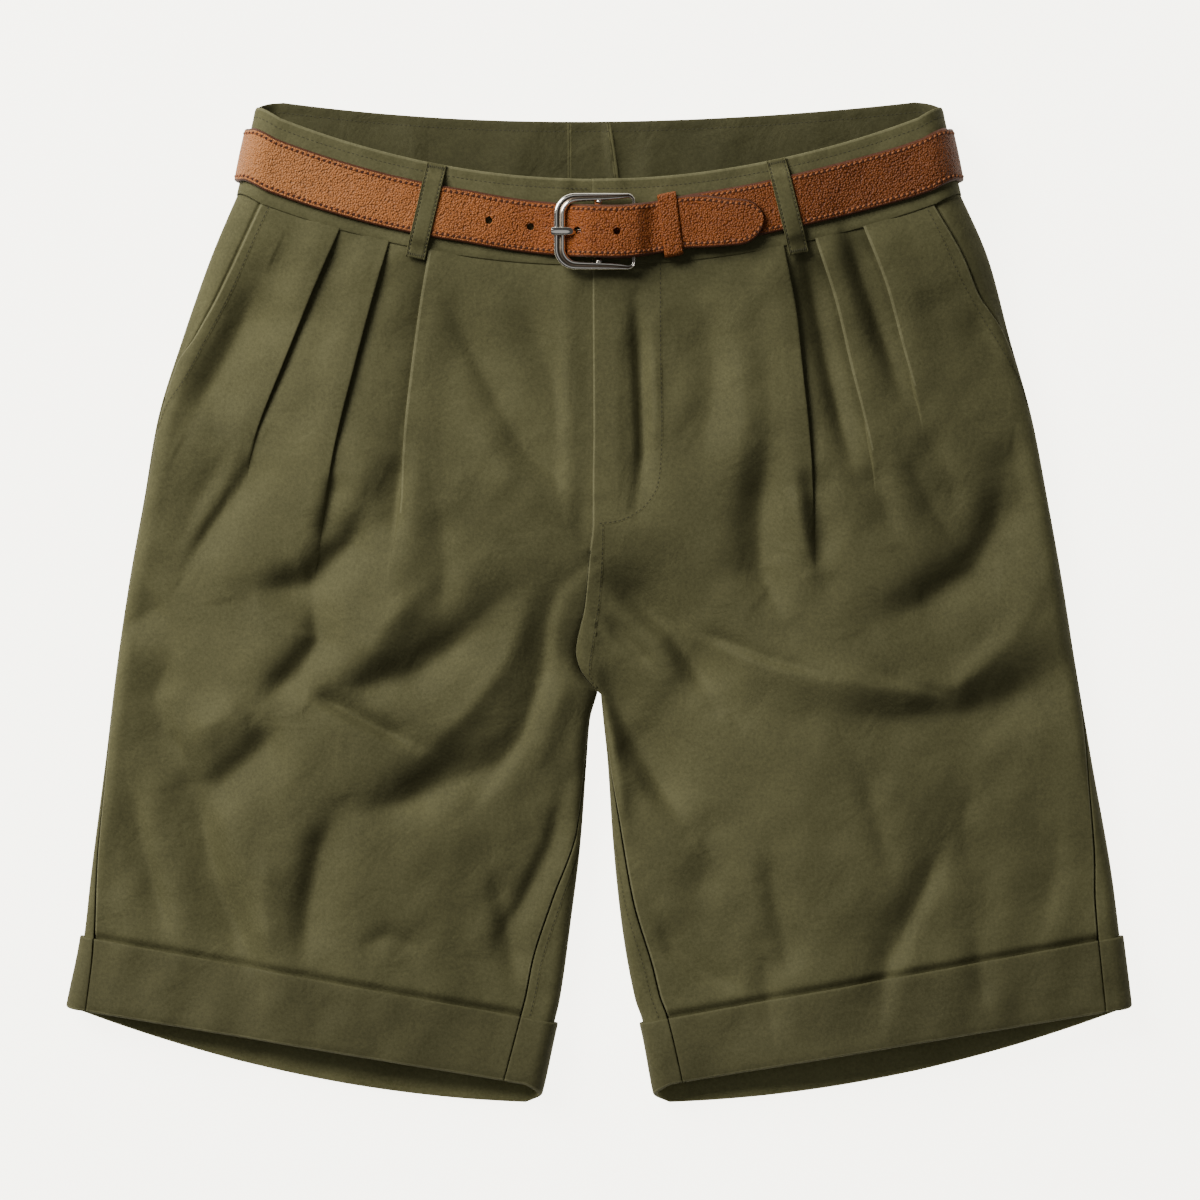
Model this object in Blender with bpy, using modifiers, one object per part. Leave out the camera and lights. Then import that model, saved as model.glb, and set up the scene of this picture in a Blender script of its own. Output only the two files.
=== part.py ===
"""Pleated chino shorts laid flat on their back, with their own leather belt.

The back panels lie on the surface z = 0 and the front panels lie over them. +Y runs up to the
waist and +X to the wearer's left. Sizes are in millimetres and turn to metres when a mesh is
made. The garment is one flattened tube that forks into two legs. A place on it is given by
a side (-1 the wearer's right, +1 the wearer's left), a girth measured from the outermost line
of that side, and a level: -1 at the waist rim, 0 at the waist seam, 1 at the end of the leg.
"""

import math

import bmesh
import bpy
from mathutils import Vector

MM = 0.001
COLLECTION = "pleated_chino_shorts"
RIGHT, LEFT = -1, 1

# Driving sizes
CLOTH = 1.2
CUFF_CLOTH = 2.0
GAP = 0.3
SEAM = 0.3
FORK_SEAM = 0.012
POCKET_STEP = 1.8
BAND_HEIGHT = 52.4
PANEL_LENGTH = 503.0
RIM_HALF_WIDTH = 212.0
SEAM_HALF_WIDTH = 223.0
SIDE_SEAM_TOP_Y = 252.0
FRONT_DIP = 44.0
BACK_RISE = 8.0
BACK_DIP = 14.0
HEM_BACK_DROP = 13.0
HEM_FRONT_RISE = 6.0
HEM_BACK_FALL = 5.0
LEG_END_Y = 305.5
FORK_Y = -56.0
FORK_LEVEL = 0.5156
CUFF_LEVEL = 0.912
CUFF_MIDDLE_LEVEL = 0.955
CROWN_RUN = 0.3
LEG_END_MARGIN = 1.5
LEG_FRONT_BOW = 2.0

# How the layers run down into the fork: level spans before it, and widths of the slopes
SEAM_SPREAD_LEVEL, SEAM_SPREAD = 0.40, 0.9
FRONT_VALLEY, BACK_VALLEY, CROWN_VALLEY = 0.16, 0.08, 0.2
FRONT_SLOPE, BACK_SLOPE = 45.0, 30.0
WAIST_DIP_END, BACK_RISE_END = 0.35, 0.15

# Fly: the right front runs under the left one down to these levels
UNDERLAP, UNDERLAP_END, UNDERLAP_SUNK_END, UNDERLAP_FADE = 8.0, 0.24, 0.30, 0.06
FLY_EDGE_COLUMNS = (16.0, 6.0)
POCKET_EDGE_COLUMNS = (0.0, 3.0, 8.0)
COLUMNS_BETWEEN_PLEATS = (2, 1, 1, 3)
ZIP_HALF_WIDTH, ZIP_TOP, ZIP_END, ZIP_DEPTH, ZIP_ROWS = 14.0, 0.02, 0.26, 2.1, 6

# Girths inside the pocket mouth and past the outermost line that its facing reaches
FACING_INSIDE, FACING_STEP, FACING_PAST = 11.0, 3.0, 4.0
FACING_SHARES = (1.0, 0.75, 0.5, 0.25, 0.0)
BACK_TUCK, POCKET_ROW_MARGIN, FACING_END_MARGIN = 2.0, 0.001, 0.005

# Column counts of the waistband and the belt
SIDE_COLUMNS, UNDER_COLUMNS, BELT_BACK_COLUMNS, CUFF_COLUMNS = 6, 6, 8, 14
ARC_COLUMNS, ARC_SHARE, BACK_FLAT_COLUMNS = 4, 0.85, 5
BAND_LEVELS = (-1.0, -0.67, -0.33)
BAND_END_COLUMN, BAND_SUNK_COLUMN = 12.0, 20.0

# Belt and its hardware
STRAP_WIDTH = 32.5
STRAP_THICKNESS = 3.2
STRAP_BELOW_RIM = 12.7
TIP_WIDTH = 28.0
TIP_ROUND = 15.0
TIP_DROOP = 7.0
TIP_TAPER_X, TIP_TAPER = 60.0, 30.0
TIP_END_SHARE = 0.45
HOLE_RADIUS = 2.1
CUTTER_REACH, CUTTER_MARGIN = 12.0, 3.0
HOLES_X = (-67.6, -42.0, 10.9, 40.5)
SLOT_X, SLOT_LENGTH, SLOT_WIDTH = -13.8, 10.5, 3.8
FRAME_X, FRAME_WIDTH, FRAME_HEIGHT = -2.8, 50.0, 47.0
FRAME_CORNER, FRAME_SHARP_CORNER, FRAME_WIRE = 11.0, 3.0, 1.8
FRAME_OUT = 7.7
BAR_RADIUS, BAR_KNOB, KNOB_LENGTH, KNOB_CONE = 1.2, 2.2, 2.5, 1.0
BAR_SIDES, BAR_MERGE = 16, 0.05 * MM
PRONG_WIRE = 1.3
FOLD_WALL, FOLD_LENGTH, FOLD_SLOT, FOLD_COLUMN_SHARE = 1.2, 30.0, 7.0, 0.6
FOLD_START, FOLD_END, FOLD_STEPS = -50.0, -310.0, 10
KEEPER_X, KEEPER_WIDTH, KEEPER_HALF_HEIGHT = 43.7, 11.5, 19.2
KEEPER_WALL, KEEPER_LEAN, KEEPER_CORNER = 1.2, 0.12, 1.5
CORNER_TURNS = (0, 45, 90)
TIP_OUT = 7.5
LOOP_WIDTH = 12.0

# level, radius of the folded edge, crown of the front above it, lift of the back off the surface
HEIGHTS = (
    (-1.00, 16.0, 3.0, 5.0),
    (0.00, 16.0, 3.0, 5.0),
    (0.08, 14.5, 6.0, 1.6),
    (0.13, 13.0, 9.0, 0.0),
    (0.30, 11.0, 14.0, 0.0),
    (0.52, 9.5, 14.0, 0.0),
    (0.75, 8.5, 11.0, 0.0),
    (0.84, 8.2, 9.5, 0.0),
    (0.91, 8.0, 8.0, 2.3),
    (1.00, 8.0, 7.0, 2.3),
)

# y, half width of the wearer's right and left
OUTER_LINE = (
    (-252.0, 328.5, 328.5),
    (-205.0, 319.0, 322.5),
    (-172.0, 315.5, 318.5),
    (-98.0, 306.0, 305.5),
    (-36.0, 298.5, 295.0),
    (14.0, 291.0, 287.0),
    (64.0, 282.0, 278.0),
    (113.0, 273.5, 268.5),
    (163.0, 258.0, 254.5),
    (212.0, 240.5, 241.0),
    (252.0, 223.0, 223.0),
)

# y, x of the centre front line down to the fork
FRONT_LINE = (
    (-56.0, -0.6),
    (-40.0, -12.5),
    (-31.0, -14.5),
    (-2.0, -8.7),
    (29.0, -5.6),
    (49.0, -3.6),
    (208.0, -4.3),
)

# y, x of the centre back seam down to the fork
BACK_LINE = ((-56.0, -0.6), (-30.0, -4.0), (80.0, -10.0), (246.0, -18.3))

# y, distance of each leg's inner edge from the middle: wearer's right, left
INNER_LINE = (
    (-305.0, 38.8, 37.0),
    (-258.0, 27.0, 26.5),
    (-246.0, 24.2, 22.3),
    (-197.0, 17.3, 13.6),
    (-147.0, 11.2, 8.5),
    (-98.0, 7.6, 5.2),
    (-73.0, 5.6, 2.6),
    (-56.0, 0.9, 0.9),
)

# level, how far the front's outer seam lies inside the outline: wearer's right, left
OUTER_SEAM = (
    (0.00, 15.0, 17.0),
    (0.06, 14.4, 14.3),
    (0.11, 12.5, 12.4),
    (0.17, 7.0, 2.5),
    (0.21, 1.5, 0.4),
    (0.60, 0.4, 0.5),
    (0.80, 2.5, 8.5),
    (0.87, 5.0, 13.0),
    (1.00, 11.0, 15.0),
)
POCKET_END = {RIGHT: 0.27, LEFT: 0.21}

# level, how far the front's inner seam lies inside the leg's outline: wearer's right, left
INNER_SEAM = (
    (0.5156, 0.0, 0.0),
    (0.60, 0.8, 1.0),
    (0.68, 2.6, 5.0),
    (0.77, 13.0, 9.0),
    (0.86, 20.5, 15.0),
    (1.00, 21.5, 16.0),
)

# Pleats from the outside in: x at the waist seam, x and y where each ends, where its upper layer is
OUTWARD, INWARD = -1, 1
PLEATS = {
    RIGHT: (
        (-159.3, -217.0, 85.0, OUTWARD),
        (-129.0, -171.7, 45.0, OUTWARD),
        (-104.5, -124.6, 45.0, INWARD),
    ),
    LEFT: (
        (162.4, 197.8, 119.0, OUTWARD),
        (132.7, 169.3, 84.0, OUTWARD),
        (113.5, 132.0, 38.0, INWARD),
    ),
}
PLEAT_DEPTH, PLEAT_STEP, PLEAT_FADE, PLEAT_SHOULDER = 8.0, 1.9, 13.0, 1.5
PLEAT_OPENING, PLEAT_SEARCH_STEPS = 2.2, 8

# Columns through an outward pleat: distance from its edge folded, and opened, rise in steps
PLEAT_FOLD = (
    (-7.0, -7.0, 2),
    (0.0, -4.2, 2),
    (0.0, -1.4, 1),
    (-PLEAT_DEPTH, 1.4, 1),
    (-PLEAT_DEPTH, 4.2, 0),
    (5.0, 7.0, 0),
)

# Folds of the front: x, y at both ends, half width, depth
FOLDS = (
    (-217.0, 80.0, -255.0, 20.0, 13.0, 3.5),
    (-11.0, 18.0, -88.0, -54.0, 15.0, 4.0),
    (-147.0, 49.0, -205.0, -11.0, 14.0, 4.0),
    (-74.0, -20.0, -164.0, -54.0, 14.0, 3.0),
    (-195.0, -78.0, -250.0, -111.0, 14.0, 3.5),
    (-47.0, -81.0, -81.0, -129.0, 15.0, 3.0),
    (10.0, 15.0, 70.0, -57.0, 16.0, 4.5),
    (287.0, -38.0, 142.0, -67.0, 16.0, 4.5),
    (239.0, 11.0, 170.0, -26.0, 15.0, 4.0),
    (12.0, -40.0, 54.0, -137.0, 16.0, 3.5),
    (192.0, 85.0, 229.0, 29.0, 14.0, 3.0),
)

ROWS = (0.04, 0.08, 0.13, 0.18, 0.24, 0.30, 0.36, 0.42, 0.47, FORK_LEVEL,
        0.56, 0.63, 0.70, 0.77, 0.84, CUFF_LEVEL, CUFF_MIDDLE_LEVEL)

# Strap on the front from its tip to the left fold: x, height of its middle off the waistband
TIP_STRETCH = (
    (101.0, 6.3), (99.5, 6.3), (96.0, 6.6), (91.0, 7.0), (86.0, TIP_OUT), (70.0, TIP_OUT),
    (52.0, TIP_OUT), (34.0, TIP_OUT), (28.5, 9.8), (23.0, 12.3), (14.0, 12.5), (2.0, 12.5),
    (-5.0, 12.3), (-9.0, 11.0), (-13.6, 8.2), (-18.0, 5.3), (-22.0, 4.0), (-30.0, 3.8),
    (-42.0, 2.5),
)
STRAP_OUT, UNDER_STRAP_OUT = 2.55, 4.0
UNDER_STRETCH = (
    (100.0, STRAP_OUT), (84.0, UNDER_STRAP_OUT), (66.0, UNDER_STRAP_OUT), (48.0, UNDER_STRAP_OUT),
    (30.0, UNDER_STRAP_OUT), (14.0, UNDER_STRAP_OUT), (2.3, UNDER_STRAP_OUT),
)
FIRST_COLUMN, FRONT_COLUMNS = 44.0, 8
SIDE_TURN = 30.0
PRONG_ROUTE = ((-1.7, 6.4), (-9.0, 7.5), (-13.6, 8.3), (-20.0, 9.6), (-25.4, 11.2), (-28.6, 10.9))

# Belt loop along its length: millimetres below the rim, height of its middle off the waistband
LOOP_PROFILE = (
    (0.5, 1.5), (4.5, 1.5), (11.0, 4.9), (14.0, 5.0), (29.0, 5.0), (45.0, 5.0), (48.0, 4.4),
    (53.5, 2.0), (59.5, 2.0),
)
FRONT_LOOPS = {"belt_loop_front_right": (-99.5, -113.0), "belt_loop_front_left": (108.5, 123.0)}
BACK_LOOPS = {"belt_loop_back_right": (-122.0, -124.0), "belt_loop_centre_back": (-18.3, -18.3),
              "belt_loop_back_left": (118.0, 120.0)}

# name, colour, roughness, metallic
FINISHES = {
    "olive_twill": ((0.098, 0.090, 0.045), 0.85, 0.0),
    "tan_leather": ((0.36, 0.125, 0.036), 0.50, 0.0),
    "polished_steel": ((0.72, 0.70, 0.66), 0.22, 1.0),
    "zip_tape": ((0.06, 0.055, 0.03), 0.80, 0.0),
}


def smooth(t):
    """0 to 1 with level ends."""
    t = min(max(t, 0.0), 1.0)
    return t * t * (3 - 2 * t)


def mix(a, b, t):
    return a + (b - a) * t


def evenly(first, last, count):
    """Evenly spaced values from first to last, with count steps between them."""
    return [mix(first, last, k / count) for k in range(count + 1)]


def look_up(table, at, column):
    """A table's column at a place between its rows, on a smooth curve that never overshoots them."""
    keys = [row[0] for row in table]
    values = [row[column] for row in table]
    if at <= keys[0]:
        return values[0]
    if at >= keys[-1]:
        return values[-1]
    i = max(k for k in range(len(keys) - 1) if keys[k] <= at)
    slopes = [
        (values[k + 1] - values[k]) / (keys[k + 1] - keys[k]) for k in range(len(keys) - 1)
    ]

    def tangent(k):
        if k in (0, len(keys) - 1):
            return slopes[min(k, len(slopes) - 1)]
        before, after = slopes[k - 1], slopes[k]
        return 0.0 if before * after <= 0 else 2 * before * after / (before + after)

    run = keys[i + 1] - keys[i]
    t = (at - keys[i]) / run
    return (
        (2 * t**3 - 3 * t**2 + 1) * values[i]
        + (t**3 - 2 * t**2 + t) * run * tangent(i)
        + (3 * t**2 - 2 * t**3) * values[i + 1]
        + (t**3 - t**2) * run * tangent(i + 1)
    )


def by_side(side):
    """The column of a two-sided table that belongs to a side."""
    return 1 if side == RIGHT else 2


class Section:
    """The flattened tube of one side at one level."""

    def __init__(self, side, level):
        self.side, self.level = side, level
        down = max(level, 0.0)
        rise = max(-level, 0.0)
        self.radius = look_up(HEIGHTS, level, 1)
        self.crown = look_up(HEIGHTS, level, 2)
        self.base = CLOTH / 2 + look_up(HEIGHTS, level, 3)
        self.outer_y = SIDE_SEAM_TOP_Y - PANEL_LENGTH * down
        half = look_up(OUTER_LINE, self.outer_y, by_side(side))
        self.outer_x = side * (half - rise * (SEAM_HALF_WIDTH - RIM_HALF_WIDTH))
        fork = min(down / FORK_LEVEL, 1.0)
        leg = max(down - FORK_LEVEL, 0.0) / (1 - FORK_LEVEL)
        self.front_y = mix(SIDE_SEAM_TOP_Y - FRONT_DIP, FORK_Y, fork) - (LEG_END_Y + FORK_Y) * leg
        back_top = SIDE_SEAM_TOP_Y + BACK_RISE - BACK_DIP
        self.back_y = mix(back_top, FORK_Y, fork) - (LEG_END_Y + FORK_Y) * leg
        hem = smooth((level - CUFF_LEVEL) / (1 - CUFF_LEVEL))
        self.front_y += HEM_FRONT_RISE * hem
        self.back_y -= HEM_BACK_FALL * hem
        self.raised = rise * BAND_HEIGHT
        dip = 1 - smooth(down / WAIST_DIP_END)
        self.front_bow = LEG_FRONT_BOW * leg - FRONT_DIP * dip
        self.back_bow = -BACK_DIP * dip - 4 * HEM_BACK_DROP * smooth(leg)
        self.back_rise = BACK_RISE * (1 - smooth(down / BACK_RISE_END))
        if level > FORK_LEVEL:
            inner = side * look_up(INNER_LINE, self.front_y, by_side(side))
            self.front_x = self.back_x = inner
        else:
            spread = smooth((level - SEAM_SPREAD_LEVEL) / (FORK_LEVEL - SEAM_SPREAD_LEVEL))
            half_gap = mix(GAP / 2, SEAM_SPREAD, spread)
            self.front_x = look_up(FRONT_LINE, self.front_y, 1) + side * half_gap
            self.back_x = look_up(BACK_LINE, self.back_y, 1) + side * half_gap
        valley = 1 - smooth((FORK_LEVEL - level) / FRONT_VALLEY)
        low_valley = 1 - smooth((FORK_LEVEL - level) / BACK_VALLEY)
        self.front_fall = self.radius * valley
        self.back_climb = self.radius * low_valley
        self.front_inner = mix(FRONT_SLOPE, self.radius, valley)
        self.back_inner = mix(BACK_SLOPE, self.radius, low_valley)
        self.inner_crown = 1 - smooth((FORK_LEVEL - level) / CROWN_VALLEY)

    def crown_at(self, across):
        """Height of the front above its folded edges, at a share of the way across."""
        near_outside = smooth(across / CROWN_RUN)
        near_inside = mix(1.0, smooth((1 - across) / CROWN_RUN), self.inner_crown)
        return self.crown * near_outside * near_inside

    def width(self, back):
        return abs((self.back_x if back else self.front_x) - self.outer_x)

    def girth(self, back=False):
        """From the outermost line to the inner one, over the front or under the back."""
        edges = 2 if self.level > FORK_LEVEL else 1
        return self.width(back) + edges * (math.pi / 2 - 1) * self.radius

    def girth_at(self, inset):
        """Girth of a line that lies a level distance inside the outline."""
        if inset < self.radius:
            return self.radius * math.acos(1 - inset / self.radius)
        return inset + (math.pi / 2 - 1) * self.radius

    def profile(self, girth, out, back):
        """Inward distance, height and rounding (0 at the edge, 1 on the flat) at a girth."""
        inner = self.back_inner if back else self.front_inner
        fall = self.back_climb if back else self.front_fall
        whole, width = self.girth(back), self.width(back)
        outer_turn = math.pi / 2 * self.radius
        inner_turn = outer_turn if self.level > FORK_LEVEL else inner
        if girth < outer_turn:
            angle = girth / self.radius
            inward = self.radius - (self.radius + out) * math.cos(angle)
            return inward, (self.radius + out) * math.sin(angle), math.sin(angle)
        if girth <= whole - inner_turn or girth > whole:
            beyond = max(girth - whole, 0.0)
            reach = width + beyond if beyond else self.radius + girth - outer_turn
            return reach, self.radius + out, 1.0
        if self.level > FORK_LEVEL:
            angle = (whole - girth) / self.radius
        else:
            angle = math.acos(1 - (whole - girth) / inner)
        across, up = -fall * math.cos(angle), max(inner * math.sin(angle), 1e-6)
        length = math.hypot(across, up)
        inward = width - inner * (1 - math.cos(angle)) - out * across / length
        height = self.radius - fall * (1 - math.sin(angle)) + out * up / length
        return inward, height, mix(1.0, math.sin(angle), fall / self.radius)

    def front(self, girth, out=0.0):
        """Point on the front's middle surface, or off it by a distance outwards."""
        if girth < 0:
            return self.back(-girth, out)
        inward, height, flat = self.profile(girth, out, back=False)
        across = inward / self.width(back=False)
        x = self.outer_x - self.side * inward
        y = self.row_y(across, back=False)
        y = mix(self.row_y(across, back=True), y, self.own_share(girth, back=False))
        z = self.base + self.radius + height + self.crown_at(min(max(across, 0.0), 1.0))
        return Vector((x, y, z - flat * fold_depth(x, y)))

    def back(self, girth, out=0.0):
        """Point on the back's middle surface, which runs on over the folds to the front."""
        if girth < 0:
            return self.front(-girth, out)
        whole = self.girth(back=True)
        if girth > whole and self.level > FORK_LEVEL:
            return self.front(self.girth() - (girth - whole), out)
        inward, height, _ = self.profile(girth, out, back=True)
        across = inward / self.width(back=True)
        x = self.outer_x - self.side * inward
        y = self.row_y(across, back=True)
        y = mix(self.row_y(across, back=False), y, self.own_share(girth, back=True))
        return Vector((x, y, self.base + self.radius - height))

    def own_share(self, girth, back):
        """Share that a layer's own line has in a point's y: a half where it meets the other layer."""
        from_edge = girth
        if self.level > FORK_LEVEL:
            from_edge = min(girth, self.girth(back) - girth)
        return min(0.5 + from_edge / (math.pi * self.radius), 1.0)

    def row_y(self, across, back):
        bow = across * (1 - across)
        if back:
            start = self.outer_y + self.back_rise
            return mix(start, self.back_y, across) + self.back_bow * bow + self.raised
        return mix(self.outer_y, self.front_y, across) + self.front_bow * bow + self.raised


def fold_depth(x, y):
    """How far the folds press the front down at a place."""
    depth = 0.0
    for x0, y0, x1, y1, half_width, deepest in FOLDS:
        run = Vector((x1 - x0, y1 - y0))
        along = Vector((x - x0, y - y0)).dot(run) / run.length_squared
        nearest = Vector((x0, y0)) + run * min(max(along, 0.0), 1.0)
        aside = (Vector((x, y)) - nearest).length / half_width
        depth += deepest * math.exp(-aside * aside)
    return depth


def level_below_rim(distance):
    """Level of a line that runs a distance below the waist rim."""
    if distance <= BAND_HEIGHT:
        return distance / BAND_HEIGHT - 1
    return (distance - BAND_HEIGHT) / PANEL_LENGTH


def waist_point(x, below_rim, out, back=False):
    """Point on the waist at an x and a distance below the rim, off the cloth by a distance."""
    side = RIGHT if x < 0 else LEFT
    section = Section(side, level_below_rim(below_rim))
    girth = section.girth_at(abs(section.outer_x - x))
    return section.back(girth, out) if back else section.front(girth, out)


# Meshes

def finish(name):
    """A finish of the table as a material, made once."""
    material = bpy.data.materials.get(name)
    if material is None:
        colour, roughness, metallic = FINISHES[name]
        material = bpy.data.materials.new(name)
        material.use_nodes = True
        shader = material.node_tree.nodes["Principled BSDF"]
        shader.inputs["Base Color"].default_value = (*colour, 1.0)
        shader.inputs["Roughness"].default_value = roughness
        shader.inputs["Metallic"].default_value = metallic
    return material


def add_object(name, data, material):
    obj = bpy.data.objects.new(name, data)
    data.materials.append(finish(material))
    bpy.data.collections[COLLECTION].objects.link(obj)
    return obj


def sheet(name, rows, thickness, material, closed=False, skip=()):
    """A wall of even thickness about a grid of points, given row by row."""
    bm = bmesh.new()
    grid = [[bm.verts.new(point * MM) for point in row] for row in rows]
    if closed:
        grid.append(grid[0])
    for i in range(len(grid) - 1):
        for j in range(len(grid[i]) - 1):
            if (i, j) not in skip:
                bm.faces.new((grid[i][j], grid[i][j + 1], grid[i + 1][j + 1], grid[i + 1][j]))
    mesh = bpy.data.meshes.new(name)
    bm.to_mesh(mesh)
    bm.free()
    obj = add_object(name, mesh, material)
    wall = obj.modifiers.new("wall", "SOLIDIFY")
    wall.thickness = thickness * MM
    wall.offset = 0.0
    wall.use_even_offset = True
    mesh.shade_smooth()
    mesh.set_sharp_from_angle(angle=math.radians(40))
    return obj


def wire(name, points, radius, material, closed=False):
    """A round wire through points."""
    curve = bpy.data.curves.new(name, "CURVE")
    curve.dimensions = "3D"
    curve.bevel_depth = radius * MM
    curve.bevel_resolution = 2
    curve.use_fill_caps = True
    spline = curve.splines.new("POLY")
    spline.points.add(len(points) - 1)
    for place, point in zip(spline.points, points):
        place.co = (*(point * MM), 1.0)
    spline.use_cyclic_u = closed
    return add_object(name, curve, material)


# Cloth pieces

def pleat_columns(side, pleat, section):
    """Girth and rise of the columns through one pleat, from the outside in."""
    x_top, x_end, y_end, upper = pleat
    seam_share = abs(side * SEAM_HALF_WIDTH - x_top) / Section(side, 0.0).width(back=False)
    end_level = (SIDE_SEAM_TOP_Y - y_end) / PANEL_LENGTH
    for _ in range(PLEAT_SEARCH_STEPS):
        end = Section(side, end_level)
        end_share = abs(end.outer_x - x_end) / end.width(back=False)
        end_level += (end.row_y(end_share, back=False) - y_end) / PANEL_LENGTH
    travelled = min(section.level / end_level, 1.0)
    share = mix(seam_share, end_share, travelled)
    edge = section.girth_at(share * section.width(back=False))
    opening = min(PLEAT_OPENING * travelled, 1.0)
    step = PLEAT_STEP * (1 - smooth(travelled))
    rows = PLEAT_FOLD if upper == OUTWARD else PLEAT_FOLD[::-1]
    columns = [
        (edge - upper * mix(folded, opened, opening), rise * step) for folded, opened, rise in rows
    ]
    return edge, step, upper, columns


def upper_layer(girth, pleats):
    """Rise of the cloth where it is a pleat's upper layer, which sinks away from the pleat."""
    rise = 0.0
    for edge, step, upper, _ in pleats:
        away = (girth - edge) * upper
        if away > 0:
            rise = max(rise, 2 * step * (1 - smooth((away - PLEAT_DEPTH - PLEAT_SHOULDER) / PLEAT_FADE)))
    return rise


def fly_underlap(level):
    """How far the right front runs under the left one, and how far it lies below it."""
    closing = 1 - smooth((level - UNDERLAP_END) / UNDERLAP_FADE)
    sinking = 1 - smooth((level - UNDERLAP_SUNK_END) / UNDERLAP_FADE)
    return UNDERLAP * closing, -(CLOTH + GAP) * sinking


def front_row(side, level):
    section = Section(side, level)
    pleats = [pleat_columns(side, pleat, section) for pleat in PLEATS[side]]
    start = section.girth_at(look_up(OUTER_SEAM, level, by_side(side))) + SEAM
    whole = section.girth()
    inner_inset = look_up(INNER_SEAM, level, by_side(side))
    end = whole - FORK_SEAM * section.front_fall / section.radius
    if level > FORK_LEVEL:
        end = whole - section.girth_at(inner_inset) - SEAM
    columns = [(start + step, 0.0) for step in POCKET_EDGE_COLUMNS]
    edges = [columns[-1][0]]
    for edge, step, upper, folded in pleats:
        edges += [folded[0][0], folded[-1][0]]
    far, near = FLY_EDGE_COLUMNS
    edges.append(end - far)
    for i, count in enumerate(COLUMNS_BETWEEN_PLEATS):
        for k in range(1, count + 1):
            girth = mix(edges[2 * i], edges[2 * i + 1], k / (count + 1))
            columns.append((girth, upper_layer(girth, pleats)))
        if i < len(pleats):
            folded = pleats[i][3]
            first, last = folded[0], folded[-1]
            columns.append((first[0], max(first[1], upper_layer(first[0], pleats))))
            columns += folded[1:-1]
            columns.append((last[0], max(last[1], upper_layer(last[0], pleats))))
    underlap, sunk = fly_underlap(level) if side == RIGHT else (0.0, 0.0)
    columns += [(end - far, 0.0), (end - near, sunk), (end + underlap, sunk)]
    return [section.front(girth, rise) for girth, rise in columns]


def front_panel(side, name):
    first = GAP / 2 / PANEL_LENGTH
    levels = (first, *ROWS, 1 - LEG_END_MARGIN / PANEL_LENGTH)
    sheet(name, [front_row(side, level) for level in levels], CLOTH, "olive_twill")


def back_row(side, level):
    """The back wraps round both folds to the seams that show on the front."""
    section = Section(side, level)
    whole = section.girth(back=True)
    outer_inset = section.girth_at(look_up(OUTER_SEAM, level, by_side(side)))
    tucked = level < POCKET_END[side]
    start = BACK_TUCK if tucked else SEAM - outer_inset
    end = whole - FORK_SEAM * section.back_climb / section.radius
    if level > FORK_LEVEL:
        end = whole + section.girth_at(look_up(INNER_SEAM, level, by_side(side))) - SEAM
    return [section.back(girth) for girth in wrapped_girths(section, start, end)]


def wrapped_girths(section, start, end):
    """Columns of a back piece: close together round both folds, wide apart across the flat."""
    whole, turn = section.girth(back=True), math.pi / 2 * section.radius
    arc_start = max(mix(turn, start, ARC_SHARE), -turn)
    arc_end = min(mix(whole - turn, end, ARC_SHARE), whole + turn)
    arc, flat = ARC_COLUMNS, BACK_FLAT_COLUMNS
    girths = [start] + [mix(arc_start, turn, k / arc) for k in range(arc)]
    girths += [mix(turn, whole - turn, k / flat) for k in range(flat + 1)]
    return girths + [mix(whole - turn, arc_end, k / arc) for k in range(1, arc + 1)] + [end]


def back_panel(side, name):
    first = GAP / 2 / PANEL_LENGTH
    pocket_rows = (POCKET_END[side] - POCKET_ROW_MARGIN, POCKET_END[side] + POCKET_ROW_MARGIN)
    levels = sorted((first, *ROWS, *pocket_rows, 1 - LEG_END_MARGIN / PANEL_LENGTH))
    sheet(name, [back_row(side, level) for level in levels], CLOTH, "olive_twill")


def pocket_facing(side, name):
    """The hip strip under the slanted pocket mouth, one layer below the front and back."""
    last = POCKET_END[side] - FACING_END_MARGIN
    levels = [GAP / 2 / PANEL_LENGTH] + [level for level in ROWS if level < last] + [last]
    rows = []
    for level in levels:
        section = Section(side, level)
        mouth = section.girth_at(look_up(OUTER_SEAM, level, by_side(side)))
        inside = (mouth + FACING_INSIDE, mouth + FACING_STEP)
        girths = (*inside, *(share * mouth for share in FACING_SHARES), -FACING_PAST)
        rows.append([section.front(girth, -POCKET_STEP) for girth in girths])
    sheet(name, rows, CLOTH, "olive_twill")


def fly_zip():
    """The zip's tape, hidden under both fronts."""
    rows = []
    for k in range(ZIP_ROWS):
        section = Section(LEFT, mix(ZIP_TOP, ZIP_END, k / (ZIP_ROWS - 1)))
        whole = section.girth()
        across = (-ZIP_HALF_WIDTH, 0.0, ZIP_HALF_WIDTH)
        rows.append([section.front(whole + aside, -ZIP_DEPTH * (CLOTH + GAP)) for aside in across])
    sheet("fly_zip", rows, CLOTH, "zip_tape")


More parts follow.
